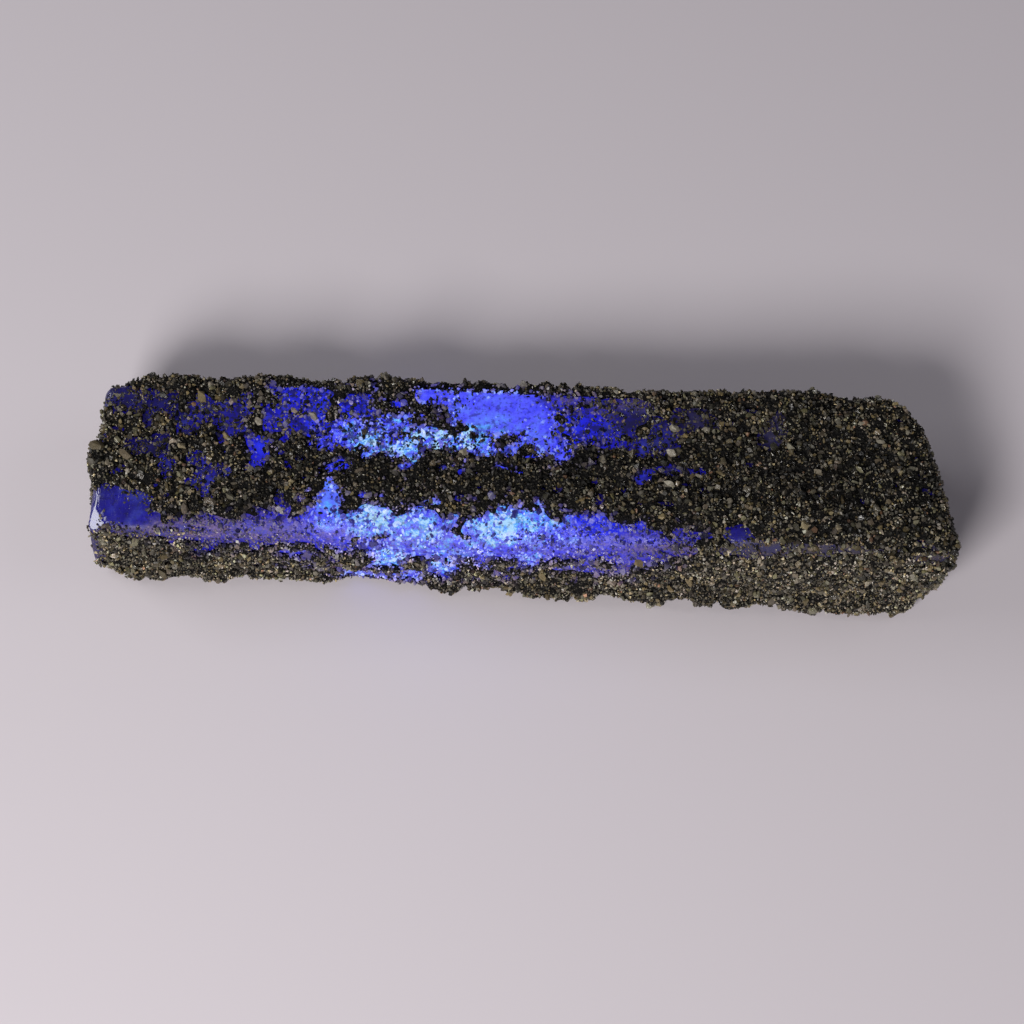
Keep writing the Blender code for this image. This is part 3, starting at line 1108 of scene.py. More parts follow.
@dataclass(frozen=True)
class Ground:
    """Where the stone lies in the frame."""

    corner: Vector
    low: Array
    high: Array

    @classmethod
    def from_frame(cls, reach: float = 0.39) -> "Ground":
        """Reads the crystal's place and the whole stone's box from the frame.

        Args:
            reach: How far left of where along is 0 the solid crystal reaches.

        Returns:
            The ground.
        """
        low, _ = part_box(CRYSTAL_NODE)
        whole_low, whole_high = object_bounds()
        corner = Vector(low) + Vector((reach * MM, 0.0, 0.0))
        return cls(corner, np.array(whole_low), np.array(whole_high))

    def to_world(self, places: Array) -> Array:
        """Turns places on the stone, in millimetres, into metres in the frame, held inside the stone's box."""
        return np.clip(places * MM + np.array(self.corner), self.low, self.high)

    def to_stone(self, places: Array) -> Array:
        """Turns places in the frame into millimetres on the stone."""
        return (places - np.array(self.corner)) / MM


def add_object(name: str, data: Any) -> Object:
    """Adds an object to the scene.

    Args:
        name: Its name.
        data: Its mesh, light or camera.

    Returns:
        The object.
    """
    thing = bpy.data.objects.new(name, data)
    bpy.context.scene.collection.objects.link(thing)
    return thing


def make_object(name: str, points: Array, faces: Array, numbers: dict[str, Array] | None = None) -> Object:
    """Makes a mesh object.

    Args:
        name: The object's name.
        points: Its points in metres.
        faces: Each face's points.
        numbers: Numbers to keep on the points, by name.

    Returns:
        The object, in the scene.
    """
    mesh = bpy.data.meshes.new(name)
    mesh.from_pydata(points.tolist(), [], faces.tolist())
    for key, values in (numbers or {}).items():
        mesh.attributes.new(key, "FLOAT", "POINT").data.foreach_set("value", values.astype(np.float32))
    mesh.update()
    return add_object(name, mesh)


@dataclass
class Sheet:
    """A sheet of four-cornered faces, with the points where the edges round its rims start and end."""

    faces: Array
    count: int  # how many points it has
    starts: Array = field(init=False)
    ends: Array = field(init=False)

    def __post_init__(self) -> None:
        """Finds the rims."""
        starts, ends = self.faces.ravel(), np.roll(self.faces, -1, axis=1).ravel()
        rim = ~np.isin(starts * self.count + ends, ends * self.count + starts)
        self.starts, self.ends = starts[rim], ends[rim]

    def smoothed(self, points: Array, rounds: int) -> Array:
        """Takes the steps out of the rims, by moving each rim point towards the middle of its neighbours.

        Args:
            points: Where the sheet's points lie.
            rounds: How many times they move.

        Returns:
            The moved points.
        """
        moved = points.copy()
        for _ in range(rounds):
            total, number = np.zeros_like(moved), np.zeros(len(moved))
            for near, far in ((self.starts, self.ends), (self.ends, self.starts)):
                np.add.at(total, near, moved[far])
                np.add.at(number, near, 1.0)
            on_rim = number > 0
            middle = total[on_rim] / number[on_rim][:, None]
            moved[on_rim] = 0.5 * (moved[on_rim] + middle)
        return moved

    def closed(self) -> Array:
        """Faces of a shell: the sheet, its inner copy turned over and numbered on by count, and the rims' walls."""
        walls = np.stack([self.ends, self.starts, self.starts + self.count, self.ends + self.count], axis=1)
        return np.concatenate([self.faces, self.faces[:, ::-1] + self.count, walls])


def hand_over(piece: Object, material: Material | None = None) -> None:
    """Gives a piece its body, and reports it.

    Args:
        piece: The piece.
        material: Its material, if it has none yet.
    """
    if material is not None:
        piece.data.materials.append(material)
    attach(piece, BODY)
    triangles = sum(len(face.vertices) - 2 for face in piece.data.polygons)
    LOG.info("%s: %d triangles", piece.name, triangles)


@dataclass
class Crystal:
    """The blue crystal, with the soft waves and chips of its worn skin."""

    form: BarForm
    ground: Ground
    cells: tuple[int, int, int] = (250, 62, 38)
    edge_cells: int = 6
    waves: Lumps = Lumps(5.0, 0.10, 2, 8.1)
    pits: Lumps = Lumps(0.8, 0.035, 2, 4.4)
    blotch_ice: Pair = (0.25, 0.5)  # dark blotches in the painted glow lie from this much ice on, fully at this much more
    blotch_around: Pair = (3.5, 1.5)  # and only behind the top front edge
    slot: str = "sapphire"

    def build(self) -> Object:
        """Makes the crystal's mesh.

        Returns:
            The crystal, with its glow and dust kept on its points.
        """
        skin = self.form.skin(self.cells, self.edge_cells)
        cover = CoverMap().at(skin)
        rise = self.waves.at(skin.place) - self.waves.rise * 0.5
        rise += self.pits.at(skin.place)
        points = self.ground.to_world(skin.moved(rise * (1.0 - skin.chipped)))
        # Where blotches may darken the painted glow: among the small clear grains, behind the top front edge.
        dirt = ease_from(cover.ice, self.blotch_ice) * ease_from(skin.around, self.blotch_around)
        numbers = {"glow": cover.glow, "film": cover.film, "ice": cover.ice, "dirt": dirt}
        crystal = make_object("sapphire", points, skin.faces, numbers | {"chipped": skin.chipped})
        crystal.data.shade_smooth()
        return crystal

    def dress(self, crystal: Object) -> None:
        """Gives the crystal its finish and puts it in place of the plain one."""
        hand_over(crystal, SapphireFinish().material())
        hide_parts(CRYSTAL_NODE)


class Mound(NamedTuple):
    """A place where the crust stands higher, or lower if its rise is below zero."""

    along: float
    around: float
    reach: float
    rise: float


MOUNDS: tuple[Mound, ...] = rows_of(
    Mound,
    # Along the top back edge.
    (1.8, 17.4, 1.1, 0.6),
    (3.6, 17.6, 1.5, 1.0),
    (6.2, 18.0, 1.5, 0.6),
    (11.5, 18.4, 1.6, 0.3),
    (14.6, 18.4, 1.8, 0.6),
    (18.4, 18.6, 1.9, 0.7),
    (34.0, 18.6, 1.7, 0.6),
    (37.6, 18.4, 1.6, 0.5),
    (47.5, 18.0, 1.8, 0.4),
    # On the left end.
    (-0.8, 8.2, 1.5, 0.5),
    # Low on the front.
    (2.4, -7.6, 2.4, 0.5),
    (5.0, -9.0, 2.4, 0.3),
    (50.0, -9.4, 2.0, 0.4),
    (61.5, -9.8, 2.4, 0.5),
    (66.0, -10.2, 2.0, 0.4),
    (77.5, -10.6, 2.4, 0.5),
    (84.5, -10.4, 2.6, -0.9),
)


@dataclass
class Crust:
    """The cemented fines, and the surface that the grains are set in."""

    form: BarForm
    ground: Ground
    cells: tuple[int, int, int] = (212, 50, 33)
    edge_cells: int = 4
    ray: float = 5.0  # from how far outside the solid crust is looked for
    grain_room: float = 0.10  # kept free under the crust's full depth, for grains to stand in
    least: float = 0.12
    least_rough: float = 0.3  # how rough the crust is where it is thinnest, as a share of the rest
    thin: float = 0.08  # how far the cement stops short of a window
    rim_slope: float = 1.3
    rim_rounds: int = 2
    sink: float = 0.08  # how far the inner face lies inside the crystal
    knobs: Lumps = Lumps(0.85, 1.0, 2, 6.6)
    knob_rise: float = 0.27
    swells: Lumps = Lumps(2.6, 0.28, 2, 4.1)
    grit: Lumps = Lumps(0.38, 0.08, 2, 9.2)
    clumps: Lumps = Lumps(4.5, 0.16, 3, 7.7)  # darker and lighter patches
    clusters: Lumps = Lumps(0.95, 2.6, 2, 15.3)  # where strays gather
    cluster_share: Pair = (0.03, 1.95)  # how thickly they lie between clusters, and how much more so in them
    gaps: Lumps = Lumps(2.6, 1.4, 2, 12.9)  # where a layer thins out
    front_knobs: float = 0.6  # how rough the front is, as a share of the top
    pit_edge: Pair = (0.45, 1.7)  # how near to a pit level sand is, and how fast pits deepen between knobs
    bare_pits: float = 0.6  # how much thinner grains lie in the pits
    crest_gain: float = 1.8  # how fast the crests rise on the knobs
    crest_shade: float = 0.17  # painted light and shade: how much lighter grains are on the crests, and darker in the pits
    # Grains on the front face are lighter, and on the top a little darker: partly a paler sand, partly painted
    # light from the front.
    front_shade: float = 0.12
    top_shade: float = -0.03
    ridge_shade: float = -0.14
    ridge: Pair = (8.0, 3.4)  # how far round the skin it lies, and how broad it is
    ridge_span: Pair = (8.0, 10.0)  # it starts this far along, fully at this much more
    # Painted shade: stray grains on the bare crystal are darker.
    stray_shade: float = -0.27
    dusty_strays: float = 1.15  # how far the dust makes up for that
    near: float = 0.65  # how far from a window grains catch its light
    lit_glow: Pair = (0.15, 0.8)  # they do from this glow on, fully at this much more
    dull_span: Pair = (3.0, 2.0)  # past this, fully at this much further round, only the lightest ones do
    lighter_front_edge: float = 1.5  # over this width, round the top front edge, the lighter front begins: partly dust, partly painted light
    slot: str = "sand_crust"
    skin: Skin = field(init=False)
    cover: Cover = field(init=False)
    cemented: Array = field(init=False)
    height: Array = field(init=False)
    pits: Array = field(init=False)
    crests: Array = field(init=False)

    def __post_init__(self) -> None:
        """Lays the grid and reads the crust's depth on it."""
        self.skin = self.form.skin(self.cells, self.edge_cells)
        self.cover = CoverMap().at(self.skin)
        self.cemented = self.cover.cemented(self.thin)
        place = self.skin.place
        knobbly = self.knobs.at(place)
        knobbly *= np.where(self.skin.around < 0.0, self.front_knobs, 1.0)
        self.pits = ease(self.pit_edge[0] - self.pit_edge[1] * knobbly)
        self.crests = np.clip(self.crest_gain * knobbly, -1.0, 1.0)
        rough = self.knob_rise * knobbly + self.swells.at(place)
        rough = rough + self._mounds() + self.grit.at(place)
        slope = self.least + self.rim_slope * np.maximum(0.0, -self.cover.inside - self.thin)
        full = np.maximum(self._full_depth() - self.grain_room + rough, self.least + self.least_rough * rough)
        self.height = np.minimum(full, slope)

    def _mounds(self) -> Array:
        """How much higher the crust is over its mounds.

        Returns:
            The rise at each point of the skin.
        """
        rise = np.zeros(len(self.skin.along))
        for mound in MOUNDS:
            along, turn = self.skin.away(mound.along, mound.around)
            rise += mound.rise * np.exp(-(along**2 + turn**2) / mound.reach**2)
        return rise

    def _full_depth(self) -> Array:
        """Depth of the frame's solid crust, found by rays from outside.

        Returns:
            The depth at each point of the skin, 0 where no ray meets it.
        """
        node = frame["nodes"][CRUST_NODE]
        points = self.ground.to_stone(np.array([node.matrix_world @ v.co for v in node.data.vertices]))
        tree = BVHTree.FromPolygons(points.tolist(), [tuple(f.vertices) for f in node.data.polygons])
        starts = self.skin.moved(np.full(len(self.skin.along), self.ray))
        depth = np.zeros(len(starts))
        for i, (start, way) in enumerate(zip(starts.tolist(), (-self.skin.outward).tolist())):
            distance = tree.ray_cast(Vector(start), Vector(way), self.ray)[3]
            if distance is not None:
                depth[i] = self.ray - distance
        return depth

    def surface(self) -> Array:
        """Places on the crust's outside, and on the crystal where nothing is cemented."""
        return self.skin.moved(np.where(self.cemented, self.height, 0.0))

    def build_cement(self) -> Object:
        """Makes the shell of cemented fines, open in the windows.

        Returns:
            The shell.
        """
        kept = self.skin.faces[self.cemented[self.skin.faces].all(axis=1)]
        used, numbered = np.unique(kept, return_inverse=True)
        sheet = Sheet(numbered.reshape(-1, 4), len(used))
        depths = (self.height, np.full(len(self.height), -self.sink))
        points = [sheet.smoothed(self.skin.moved(depth)[used], self.rim_rounds) for depth in depths]
        # The front face is lighter: partly dust, partly painted light.
        dusty = ease(0.5 - self.skin.around[used] / self.lighter_front_edge)
        numbers = {"dusty": np.concatenate([dusty, dusty])}
        places = self.ground.to_world(np.concatenate(points))
        shell = make_object("cemented_fines", places, sheet.closed(), numbers)
        shell.data.shade_smooth()
        return shell

    def _share(self, strays: float, clumping: float) -> Array:
        """How thickly a layer of grains lies.

        Args:
            strays: How thickly grains lie in the windows, as a share of each window's own litter.
            clumping: How much thinner they lie between clumps, from 0 to 1.

        Returns:
            The share of the skin that they cover, at each of its points.
        """
        place, covered = self.skin.place, self.cover.share
        clusters = self.cluster_share[0] + self.cluster_share[1] * ease(0.5 + self.clusters.at(place))
        share = np.where(covered < 1.0, np.minimum(1.0, covered * strays * clusters), 1.0)
        share *= 1.0 - clumping * ease(0.5 - self.gaps.at(place))
        return share * (1.0 - np.where(self.cemented, self.bare_pits * self.pits, 0.0))

    def _shade(self, lighter: float) -> Array:
        """How much lighter or darker than their own tone grains are: random patches, and painted light and shade.

        Args:
            lighter: How much lighter all of them are.

        Returns:
            The shade at each point of the skin.
        """
        along, around = self.skin.along, self.skin.around
        shade = lighter + self.clumps.at(self.skin.place)
        shade += np.where(around < 0.0, self.front_shade, self.top_shade)
        stray = self.stray_shade * (1.0 - self.dusty_strays * self.cover.film)
        shade += np.where(self.cemented, self.crest_shade * self.crests, stray)
        ridge = np.exp(-(((around - self.ridge[0]) / self.ridge[1]) ** 2))
        return shade + self.ridge_shade * ridge * ease_from(along, self.ridge_span)

    def seed_bed(self, sides: Iterable[Side], strays: float, clumping: float, lighter: float) -> Object:
        """Makes the surface that one layer of grains is scattered on.

        Args:
            sides: The sides of the bar that it covers.
            strays: How thickly grains lie in the windows, as a share of each window's own litter.
            clumping: How much thinner they lie between clumps, from 0 to 1.
            lighter: How much lighter than others they are.

        Returns:
            The surface, with how thickly grains lie and how brightly they are lit kept on its points.
        """
        chosen = np.isin(self.skin.side, [side.value for side in sides])
        used, numbered = np.unique(self.skin.faces[chosen], return_inverse=True)
        near = ease(1.0 + self.cover.inside / self.near)
        numbers = {
            "share": self._share(strays, clumping),
            "shine": near * ease_from(self.cover.glow, self.lit_glow),
            "dull": ease_from(self.skin.around, self.dull_span),
            "shade": self._shade(lighter),
        }
        kept = {name: values[used] for name, values in numbers.items()}
        points = self.ground.to_world(self.surface())[used]
        return make_object("seed_bed", points, numbered.reshape(-1, 4), kept)

    def dress(self, shell: Object) -> None:
        """Gives the shell its finish and puts it in place of the plain crust."""
        hand_over(shell, CementFinish().material())
        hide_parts(CRUST_NODE)


class ChipForm(Enum):
    """The form of a broken grain, as how many corners it has."""

    SHARD = 6
    BLOCK = 8
    CHUNK = 11


def spread_corners(draw: random.Random, number: int, apart: float = 0.62) -> list[Vector]:
    """Draws corners on a ball, none too near another.

    Args:
        draw: Where the chance comes from.
        number: How many corners.
        apart: The least distance between two of eight corners, which shrinks as there are more.

    Returns:
        The corners, each 1 from the middle.
    """
    corners: list[Vector] = []
    least = apart * math.sqrt(ChipForm.BLOCK.value / number)
    while len(corners) < number:
        corner = Vector(draw.gauss(0.0, 1.0) for _ in range(3)).normalized()
        if all((corner - other).length > least for other in corners):
            corners.append(corner)
    return corners


@dataclass(frozen=True)
class ChipSet:
    """A few broken grains that the scatter picks from."""

    name: str
    forms: tuple[ChipForm, ...]
    seed: int
    stretches: tuple[Pair, ...] = ((0.50, 0.72), (0.42, 0.62), (0.32, 0.54))  # least and most, each way
    jitter: Pair = (0.85, 1.1)  # how far out corners lie

    def build(self) -> Collection:
        """Makes the chips, about one unit across.

        Returns:
            Their collection, which isn't in the scene.
        """
        chips = bpy.data.collections.new(self.name)
        draw = random.Random(self.seed)
        for number, form in enumerate(self.forms):
            body = bmesh.new()
            stretch = Vector([draw.uniform(*span) for span in self.stretches])
            for corner in spread_corners(draw, form.value):
                body.verts.new(corner * stretch * draw.uniform(*self.jitter))
            bmesh.ops.convex_hull(body, input=body.verts)
            bmesh.ops.delete(body, geom=[v for v in body.verts if not v.link_faces], context="VERTS")
            bmesh.ops.recalc_face_normals(body, faces=body.faces)
            mesh = bpy.data.meshes.new(f"{self.name}_{number}")
            body.to_mesh(mesh)
            body.free()
            chips.objects.link(bpy.data.objects.new(mesh.name, mesh))
        return chips

    @staticmethod
    def remove(chips: Collection) -> None:
        """Deletes the chips once they have been scattered.

        Args:
            chips: Their collection.
        """
        for chip in list(chips.objects):
            bpy.data.objects.remove(chip)
        bpy.data.collections.remove(chips)


FINE_CHIPS = ChipSet("fine_chips", 3 * (ChipForm.SHARD,) + 8 * (ChipForm.BLOCK,), seed=7)
COARSE_CHIPS = ChipSet("coarse_chips", 3 * (ChipForm.BLOCK,) + 6 * (ChipForm.CHUNK,), seed=19)


class ScatterTree(Graph):
    """A Geometry Nodes tree that scatters chips over a surface, each turned and sized by chance."""

    INPUTS = {
        "Surface": "Geometry",
        "Spacing": "Float",
        "Most per area": "Float",
        "Smallest": "Float",
        "Largest": "Float",
        "Rise": "Float",
        "Seed": "Int",
        "Chips": "Collection",
        "Chip count": "Int",
        "Finish": "Material",
    }
    RANDOM_SOCKETS = {"FLOAT_VECTOR": (0, 0), "FLOAT": (2, 1), "INT": (4, 2)}  # the lower bound, and the output
    SEED_SOCKET = 8
    STRETCHES = {"lift": 11, "size": 23, "turn": 37, "pick": 51, "tone": 67, "hue": 83}  # of the seed, for each use
    SMALL_GRAINS = 1.8  # small grains are commoner than large ones by this power

    def __init__(self) -> None:
        """Builds the tree."""
        super().__init__(bpy.data.node_groups.new("scatter_grains", "GeometryNodeTree"))
        sockets = self.tree.interface
        self.sockets = {
            name: sockets.new_socket(name, in_out="INPUT", socket_type=f"NodeSocket{kind}").identifier
            for name, kind in self.INPUTS.items()
        }
        sockets.new_socket("Grains", in_out="OUTPUT", socket_type="NodeSocketGeometry")
        self.inputs = self.node("NodeGroupInput").outputs
        self._wire()

    def _given(self, name: str) -> Scalar:
        """One of the tree's own inputs."""
        return Scalar(self, self.inputs[name])

    def _first(self, kind: str, settings: Settings, inputs: Inputs) -> NodeSocket:
        """Adds a node and returns its first output."""
        return self.node(kind, settings, inputs).outputs[0]

    def _chance(self, use: str, low: Input, high: Input, kind: str = "FLOAT") -> Scalar:
        """A random value for each grain.

        Args:
            use: What it is for.
            low: The least that it may be.
            high: The most.
            kind: Its type.

        Returns:
            The value.
        """
        first, output = self.RANDOM_SOCKETS[kind]
        inputs = {first: low, first + 1: high, self.SEED_SOCKET: self._given("Seed") + float(self.STRETCHES[use])}
        return self.scalar("FunctionNodeRandomValue", {"data_type": kind}, inputs, output)

    def _wire(self) -> None:
        """Joins up the scatter."""
        share = self.node("GeometryNodeInputNamedAttribute", {"data_type": "FLOAT"}, {"Name": "share"})
        spread = {
            "Mesh": self._given("Surface"),
            "Distance Min": self._given("Spacing"),
            "Density Max": self._given("Most per area"),
            "Density Factor": share.outputs["Attribute"],
            "Seed": self._given("Seed"),
        }
        points = self.node("GeometryNodeDistributePointsOnFaces", {"distribute_method": "POISSON"}, spread).outputs
        lift = {0: points["Normal"], "Scale": self._given("Rise") * self._chance("lift", -1.0, 1.0)}
        offset = self._first("ShaderNodeVectorMath", {"operation": "SCALE"}, lift)
        raised = self._first("GeometryNodeSetPosition", {}, {"Geometry": points["Points"], "Offset": offset})
        picked = {"Collection": self._given("Chips"), "Separate Children": True, "Reset Children": True}
        sizes = {
            "Value": self._chance("size", 0.0, 1.0) ** self.SMALL_GRAINS,
            "To Min": self._given("Smallest"),
            "To Max": self._given("Largest"),
        }
        placed = {
            "Points": raised,
            "Instance": self._first("GeometryNodeCollectionInfo", {}, picked),
            "Pick Instance": True,
            "Instance Index": self._chance("pick", 0, self._given("Chip count"), "INT"),
            "Rotation": self._chance("turn", (0.0,) * 3, (math.tau,) * 3, "FLOAT_VECTOR"),
            "Scale": self._first("ShaderNodeMapRange", {}, sizes),
        }
        grains = self._first("GeometryNodeInstanceOnPoints", {}, placed)
        for name in ("tone", "hue"):
            stored = {"Geometry": grains, "Name": name, "Value": self._chance(name, 0.0, 1.0)}
            kind = {"data_type": "FLOAT", "domain": "INSTANCE"}
            grains = self._first("GeometryNodeStoreNamedAttribute", kind, stored)
        solid = self._first("GeometryNodeRealizeInstances", {}, {"Geometry": grains})
        dressed = {"Geometry": solid, "Material": self._given("Finish")}
        self.node("NodeGroupOutput", {}, {0: self._first("GeometryNodeSetMaterial", {}, dressed)})

    def scatter(self, name: str, bed: Object, values: dict[str, Any]) -> Object:
        """Runs the tree on a surface.

        Args:
            name: The new piece's name.
            bed: The surface, which is deleted.
            values: The tree's inputs, by name.

        Returns:
            The grains, as one plain mesh.
        """
        modifier = bed.modifiers.new("scatter", "NODES")
        modifier.node_group = self.tree
        for key, value in values.items():
            modifier[self.sockets[key]] = value
        graph = bpy.context.evaluated_depsgraph_get()
        mesh = bpy.data.meshes.new_from_object(bed.evaluated_get(graph))
        mesh.name = name
        bed.modifiers.remove(modifier)
        bpy.data.objects.remove(bed)
        return add_object(name, mesh)


@dataclass(frozen=True)
class GrainLayer:
    """One piece made of many grains."""

    name: str
    sides: tuple[Side, ...]
    spacing: float
    smallest: float
    largest: float
    rise: float
    seed: int
    coarse: bool = False
    strays: float = 1.0
    clumping: float = 0.0
    # Painted light and shade: fine layers are lighter, against the shade they cast on each other, and coarse ones
    # darker, as they catch more light.
    lighter: float = 0.0
    crowding: float = 3.0  # how many grains are tried in a square of the spacing

    def lay(self, crust: Crust, tree: ScatterTree, chips: Collection, finish: Material) -> None:
        """Scatters the grains and hands the piece over.

        Args:
            crust: The crust that they are set in.
            tree: The scatter.
            chips: What it picks from.
            finish: The grains' material.
        """
        values = {
            "Spacing": self.spacing * MM,
            "Most per area": self.crowding / (self.spacing * MM) ** 2,
            "Smallest": self.smallest * MM,
            "Largest": self.largest * MM,
            "Rise": self.rise * MM,
            "Seed": self.seed,
            "Chips": chips,
            "Chip count": len(chips.objects) - 1,
            "Finish": finish,
        }
        bed = crust.seed_bed(self.sides, self.strays, self.clumping, self.lighter)
        grains = tree.scatter(self.name, bed, values)
        points = np.empty(len(grains.data.vertices) * 3)
        grains.data.vertices.foreach_get("co", points)
        held = np.clip(points.reshape(-1, 3), crust.ground.low, crust.ground.high)
        grains.data.vertices.foreach_set("co", held.ravel())
        grains.data.update()
        hand_over(grains)


ENDS = (Side.LEFT, Side.RIGHT)
SIDES = (Side.FRONT, Side.BACK, *ENDS)

# Each layer's sizes are in the order of GrainLayer's own fields.
LAYERS: tuple[GrainLayer, ...] = rows_of(
    GrainLayer,
    ("fine_grains_top", (Side.TOP,), 0.24, 0.22, 0.46, 0.10, 101, False, 1.6, 0.0, 0.09),
    ("fine_grains_front", (Side.FRONT,), 0.22, 0.20, 0.41, 0.10, 202, False, 1.6, 0.0, 0.09),
    ("fine_grains_back", (Side.BACK,), 0.28, 0.22, 0.46, 0.10, 303, False, 1.6, 0.0, 0.09),
    ("fine_grains_under", (Side.UNDER,), 0.38, 0.30, 0.50, 0.06, 404),
    ("fine_grains_ends", ENDS, 0.26, 0.20, 0.44, 0.10, 505, False, 1.6, 0.0, 0.09),
    ("medium_grains_top", (Side.TOP,), 0.38, 0.34, 0.72, 0.12, 606, True, 0.48, 0.25, -0.09),
    ("medium_grains_sides", SIDES, 0.42, 0.36, 0.70, 0.08, 707, True, 0.32, 0.45, -0.09),
    ("large_grains", (Side.TOP, *SIDES), 1.3, 0.60, 1.0, 0.08, 808, True, 0.3, 0.85, -0.05),
)


class PaleGrain(NamedTuple):
    """One large grain that stands out. Its size is across, and its tone and hue are as in the scattered ones."""

    along: float
    around: float
    size: float
    tone: float
    hue: float


PALE_GRAINS: tuple[PaleGrain, ...] = rows_of(
    PaleGrain,
    (0.6, 8.8, 1.5, 0.48, 0.60),
    (0.3, 7.2, 1.1, 0.44, 0.30),
    (1.8, 13.4, 0.8, 0.80, 0.35),
    (3.0, 8.2, 1.5, 0.62, 0.72),
    (8.6, 9.2, 0.9, 1.00, 0.45),
    (8.8, 6.1, 0.8, 0.84, 0.10),
    (9.3, 14.6, 0.55, 0.90, 0.985),
    (9.7, 2.3, 1.1, 0.70, 0.82),
    (9.9, 15.2, 1.3, 0.78, 0.58),
    (12.1, 3.1, 1.2, 0.64, 0.84),
    (12.9, 10.6, 1.0, 0.92, 0.60),
    (14.1, 3.7, 1.0, 0.66, 0.20),
    (16.1, 12.3, 0.9, 0.98, 0.34),
    (19.6, 13.8, 0.9, 1.00, 0.80),
    (21.6, 13.1, 1.2, 0.98, 0.36),
    (37.2, -12.0, 1.1, 0.90, 0.40),
    (45.5, -6.5, 1.0, 0.90, 0.60),
    (55.4, -3.3, 1.1, 0.86, 0.66),
    (57.9, 6.6, 1.1, 1.00, 0.30),
    (58.3, 10.2, 1.0, 1.00, 0.34),
    (58.6, 13.1, 1.2, 1.00, 0.28),
    (60.6, -6.1, 1.0, 0.90, 0.70),
    (61.1, 7.5, 0.9, 0.92, 0.30),
    (61.6, 12.9, 0.9, 0.98, 0.32),
    (70.1, 11.1, 0.9, 0.90, 0.20),
    (71.6, 2.6, 1.0, 0.96, 0.48),
    (77.1, 9.1, 0.9, 0.88, 0.12),
    (79.1, 12.0, 0.9, 0.90, 0.30),
    (80.8, -12.6, 1.4, 0.98, 0.40),
)


@dataclass
class PaleGrains:
    """The large grains that stand out, each in its own place on the crust."""

    crust: Crust
    corners: int = 13
    sink: float = 0.12  # how deep a grain is set, as a share of its size
    thickness: float = 0.6  # how thick a grain is, as a share of its size
    width: float = 0.62  # half of it, and of its depth and height, as shares of its size
    depths: Pair = (0.40, 0.56)
    heights: Pair = (0.30, 0.44)
    jitter: Pair = (0.86, 1.06)  # how far out its corners lie
    seed: int = 31

    def _add(self, body: bmesh.types.BMesh, grain: PaleGrain, draw: random.Random) -> None:
        """Adds one grain.

        Args:
            body: The mesh that it joins.
            grain: The grain.
            draw: Where the chance comes from.
        """
        skin = self.crust.skin
        along, turn = skin.away(grain.along, grain.around)
        at = int(np.argmin(along**2 + turn**2))
        outward = Vector(skin.outward[at])
        middle = Vector(self.crust.surface()[at]) + outward * grain.size * (0.5 - self.sink) * self.thickness
        spin = Vector((draw.random(), draw.random(), draw.random())).to_track_quat("Z", "Y")
        stretch = Vector((self.width, draw.uniform(*self.depths), draw.uniform(*self.heights))) * grain.size
        corners = [corner * stretch * draw.uniform(*self.jitter) for corner in spread_corners(draw, self.corners)]
        points = [body.verts.new(middle + spin @ corner) for corner in corners]
        hull = bmesh.ops.convex_hull(body, input=points)
        bmesh.ops.delete(body, geom=[g for g in hull["geom_interior"] if isinstance(g, bmesh.types.BMVert)])

    def build(self) -> Object:
        """Makes them as one mesh.

        Returns:
            The grains.
        """
        body, draw, counts = bmesh.new(), random.Random(self.seed), [0]
        for grain in PALE_GRAINS:
            self._add(body, grain, draw)
            counts.append(len(body.verts))
        bmesh.ops.recalc_face_normals(body, faces=body.faces)
        body.verts.index_update()
        points = self.crust.ground.to_world(np.array([vertex.co for vertex in body.verts]))
        faces = np.array([[vertex.index for vertex in face.verts] for face in body.faces])
        body.free()
        repeats = np.diff(counts)
        tones = np.repeat([grain.tone for grain in PALE_GRAINS], repeats)
        hues = np.repeat([grain.hue for grain in PALE_GRAINS], repeats)
        return make_object("pale_grains", points, faces, {"tone": tones, "hue": hues})

    def dress(self, grains: Object, finish: Material) -> None:
        """Gives the grains their finish."""
        hand_over(grains, finish)


@dataclass(frozen=True)
class Lamp:
    """A soft light that faces the stone."""

    name: str
    place: Triple  # from the stone's middle
    size: Pair  # how wide and how tall
    power: float  # in watts
    tint: Colour

    def build(self) -> None:
        """Hangs it."""
        lamp = bpy.data.lights.new(self.name, "AREA")
        lamp.shape, lamp.size, lamp.size_y = "RECTANGLE", self.size[0] * MM, self.size[1] * MM
        lamp.energy, lamp.color = self.power, self.tint
        light = add_object(self.name, lamp)
        light.location = Vector(self.place) * MM
        light.rotation_euler = (-light.location).to_track_quat("-Z", "Y").to_euler()


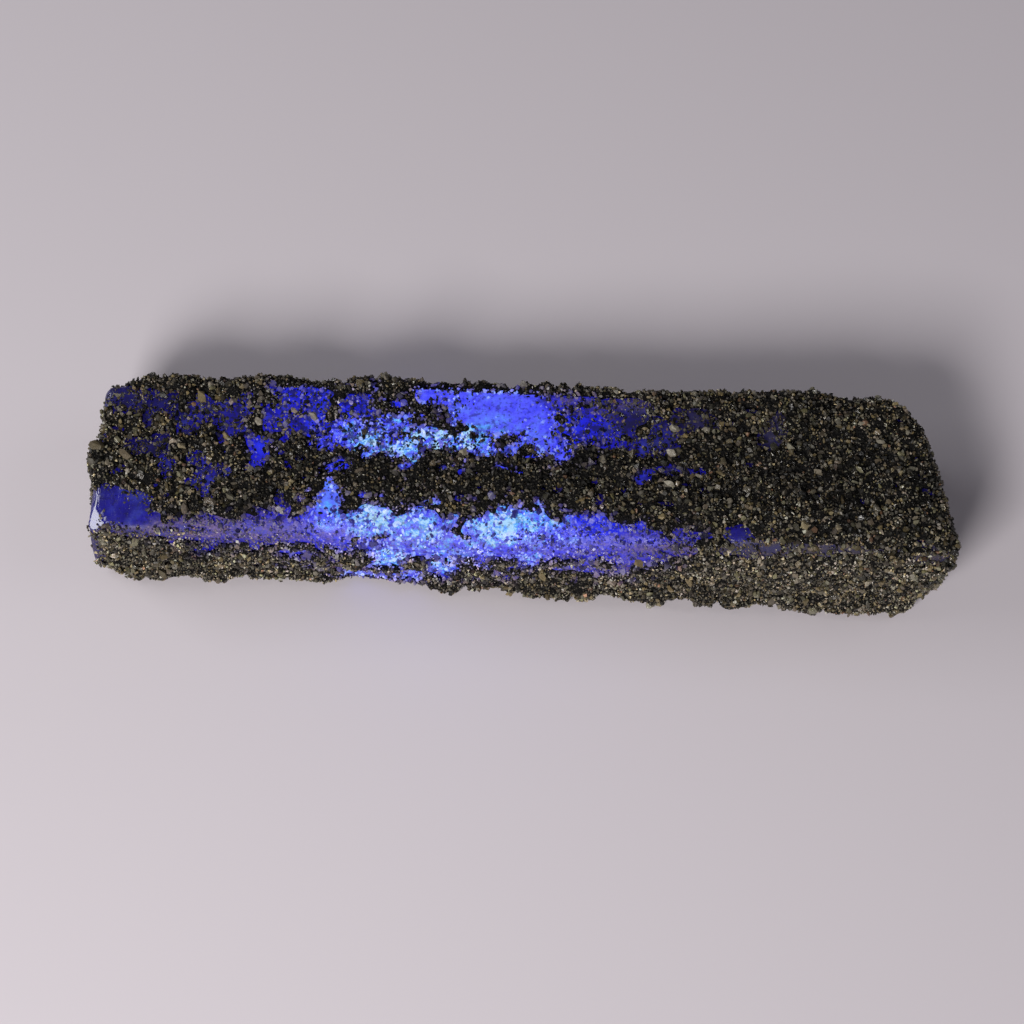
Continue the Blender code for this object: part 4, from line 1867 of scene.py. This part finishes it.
@dataclass(frozen=True)
class Studio:
    """A pale floor, soft lights in front and at both sides, and a camera looking steeply down at the stone."""

    ground: Ground
    lamps: tuple[Lamp, ...] = (
        Lamp("key", (-140.0, -310.0, 260.0), (150.0, 150.0), 1.75, (1.0, 0.97, 0.94)),
        Lamp("fill", (420.0, 60.0, 300.0), (300.0, 300.0), 0.28, (0.95, 0.95, 1.0)),
        Lamp("side", (-359.0, 72.0, 235.0), (290.0, 70.0), 0.5, (1.0, 1.0, 1.0)),
    )
    room: Colour = srgb(214, 210, 216)
    room_light: float = 0.14
    elevation: float = 64.0  # in degrees, as are the next and the field of view
    azimuth: float = 2.5
    distance: float = 237.6
    field_of_view: float = 25.0
    clip: Pair = (10.0, 5000.0)  # the nearest and the farthest that the camera sees
    aim: Triple = (43.5, 8.3, 4.6)
    aim_offset: Pair = (1.235, 1.543)  # how far right of and above the middle the aim is seen
    floor_size: float = 1200.0

    def build(self) -> None:
        """Sets everything up."""
        self._floor()
        for lamp in self.lamps:
            lamp.build()
        self._room()
        self._camera()
        bpy.context.scene.view_settings.view_transform = "Standard"

    def _floor(self) -> None:
        """Lays the floor."""
        half = self.floor_size / 2.0 * MM
        points = np.array([(-half, -half, 0.0), (half, -half, 0.0), (half, half, 0.0), (-half, half, 0.0)])
        floor = make_object("floor", points, np.array([[0, 1, 2, 3]]))
        floor.data.materials.append(FloorFinish().material())
        floor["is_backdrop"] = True

    def _room(self) -> None:
        """Sets the even light of the room."""
        world = bpy.data.worlds.new("room")
        world.use_nodes = True
        sky = world.node_tree.nodes["Background"]
        sky.inputs["Color"].default_value = (*self.room, 1.0)
        sky.inputs["Strength"].default_value = self.room_light
        bpy.context.scene.world = world

    def _camera(self) -> None:
        """Places the camera."""
        rise, turn = math.radians(self.elevation), math.radians(self.azimuth)
        back = Vector((math.sin(turn) * math.cos(rise), -math.cos(turn) * math.cos(rise), math.sin(rise)))
        right = Vector((math.cos(turn), math.sin(turn), 0.0))
        up = back.cross(right)
        lens = bpy.data.cameras.new("camera")
        lens.angle = math.radians(self.field_of_view)
        lens.clip_start, lens.clip_end = self.clip[0] * MM, self.clip[1] * MM
        target = self.ground.corner + Vector(self.aim) * MM
        place = target + (back * self.distance - right * self.aim_offset[0] - up * self.aim_offset[1]) * MM
        camera = add_object("camera", lens)
        camera.matrix_world = Matrix.Translation(place) @ Matrix((right, up, back)).transposed().to_4x4()
        bpy.context.scene.camera = camera


def main() -> None:
    """Builds and dresses the stone, then sets up the studio."""
    logging.basicConfig(level=logging.INFO, format="%(message)s")
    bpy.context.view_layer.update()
    form = BarForm()
    ground = Ground.from_frame()

    crystal = Crystal(form, ground)
    crystal.dress(crystal.build())

    crust = Crust(form, ground)
    crust.dress(crust.build_cement())

    tree = ScatterTree()
    finish = GrainFinish().material()
    fine, coarse = FINE_CHIPS.build(), COARSE_CHIPS.build()
    for layer in LAYERS:
        layer.lay(crust, tree, coarse if layer.coarse else fine, finish)
    pale = PaleGrains(crust)
    pale.dress(pale.build(), finish)
    ChipSet.remove(fine)
    ChipSet.remove(coarse)

    Studio(ground).build()


if __name__ == "__main__":
    main()
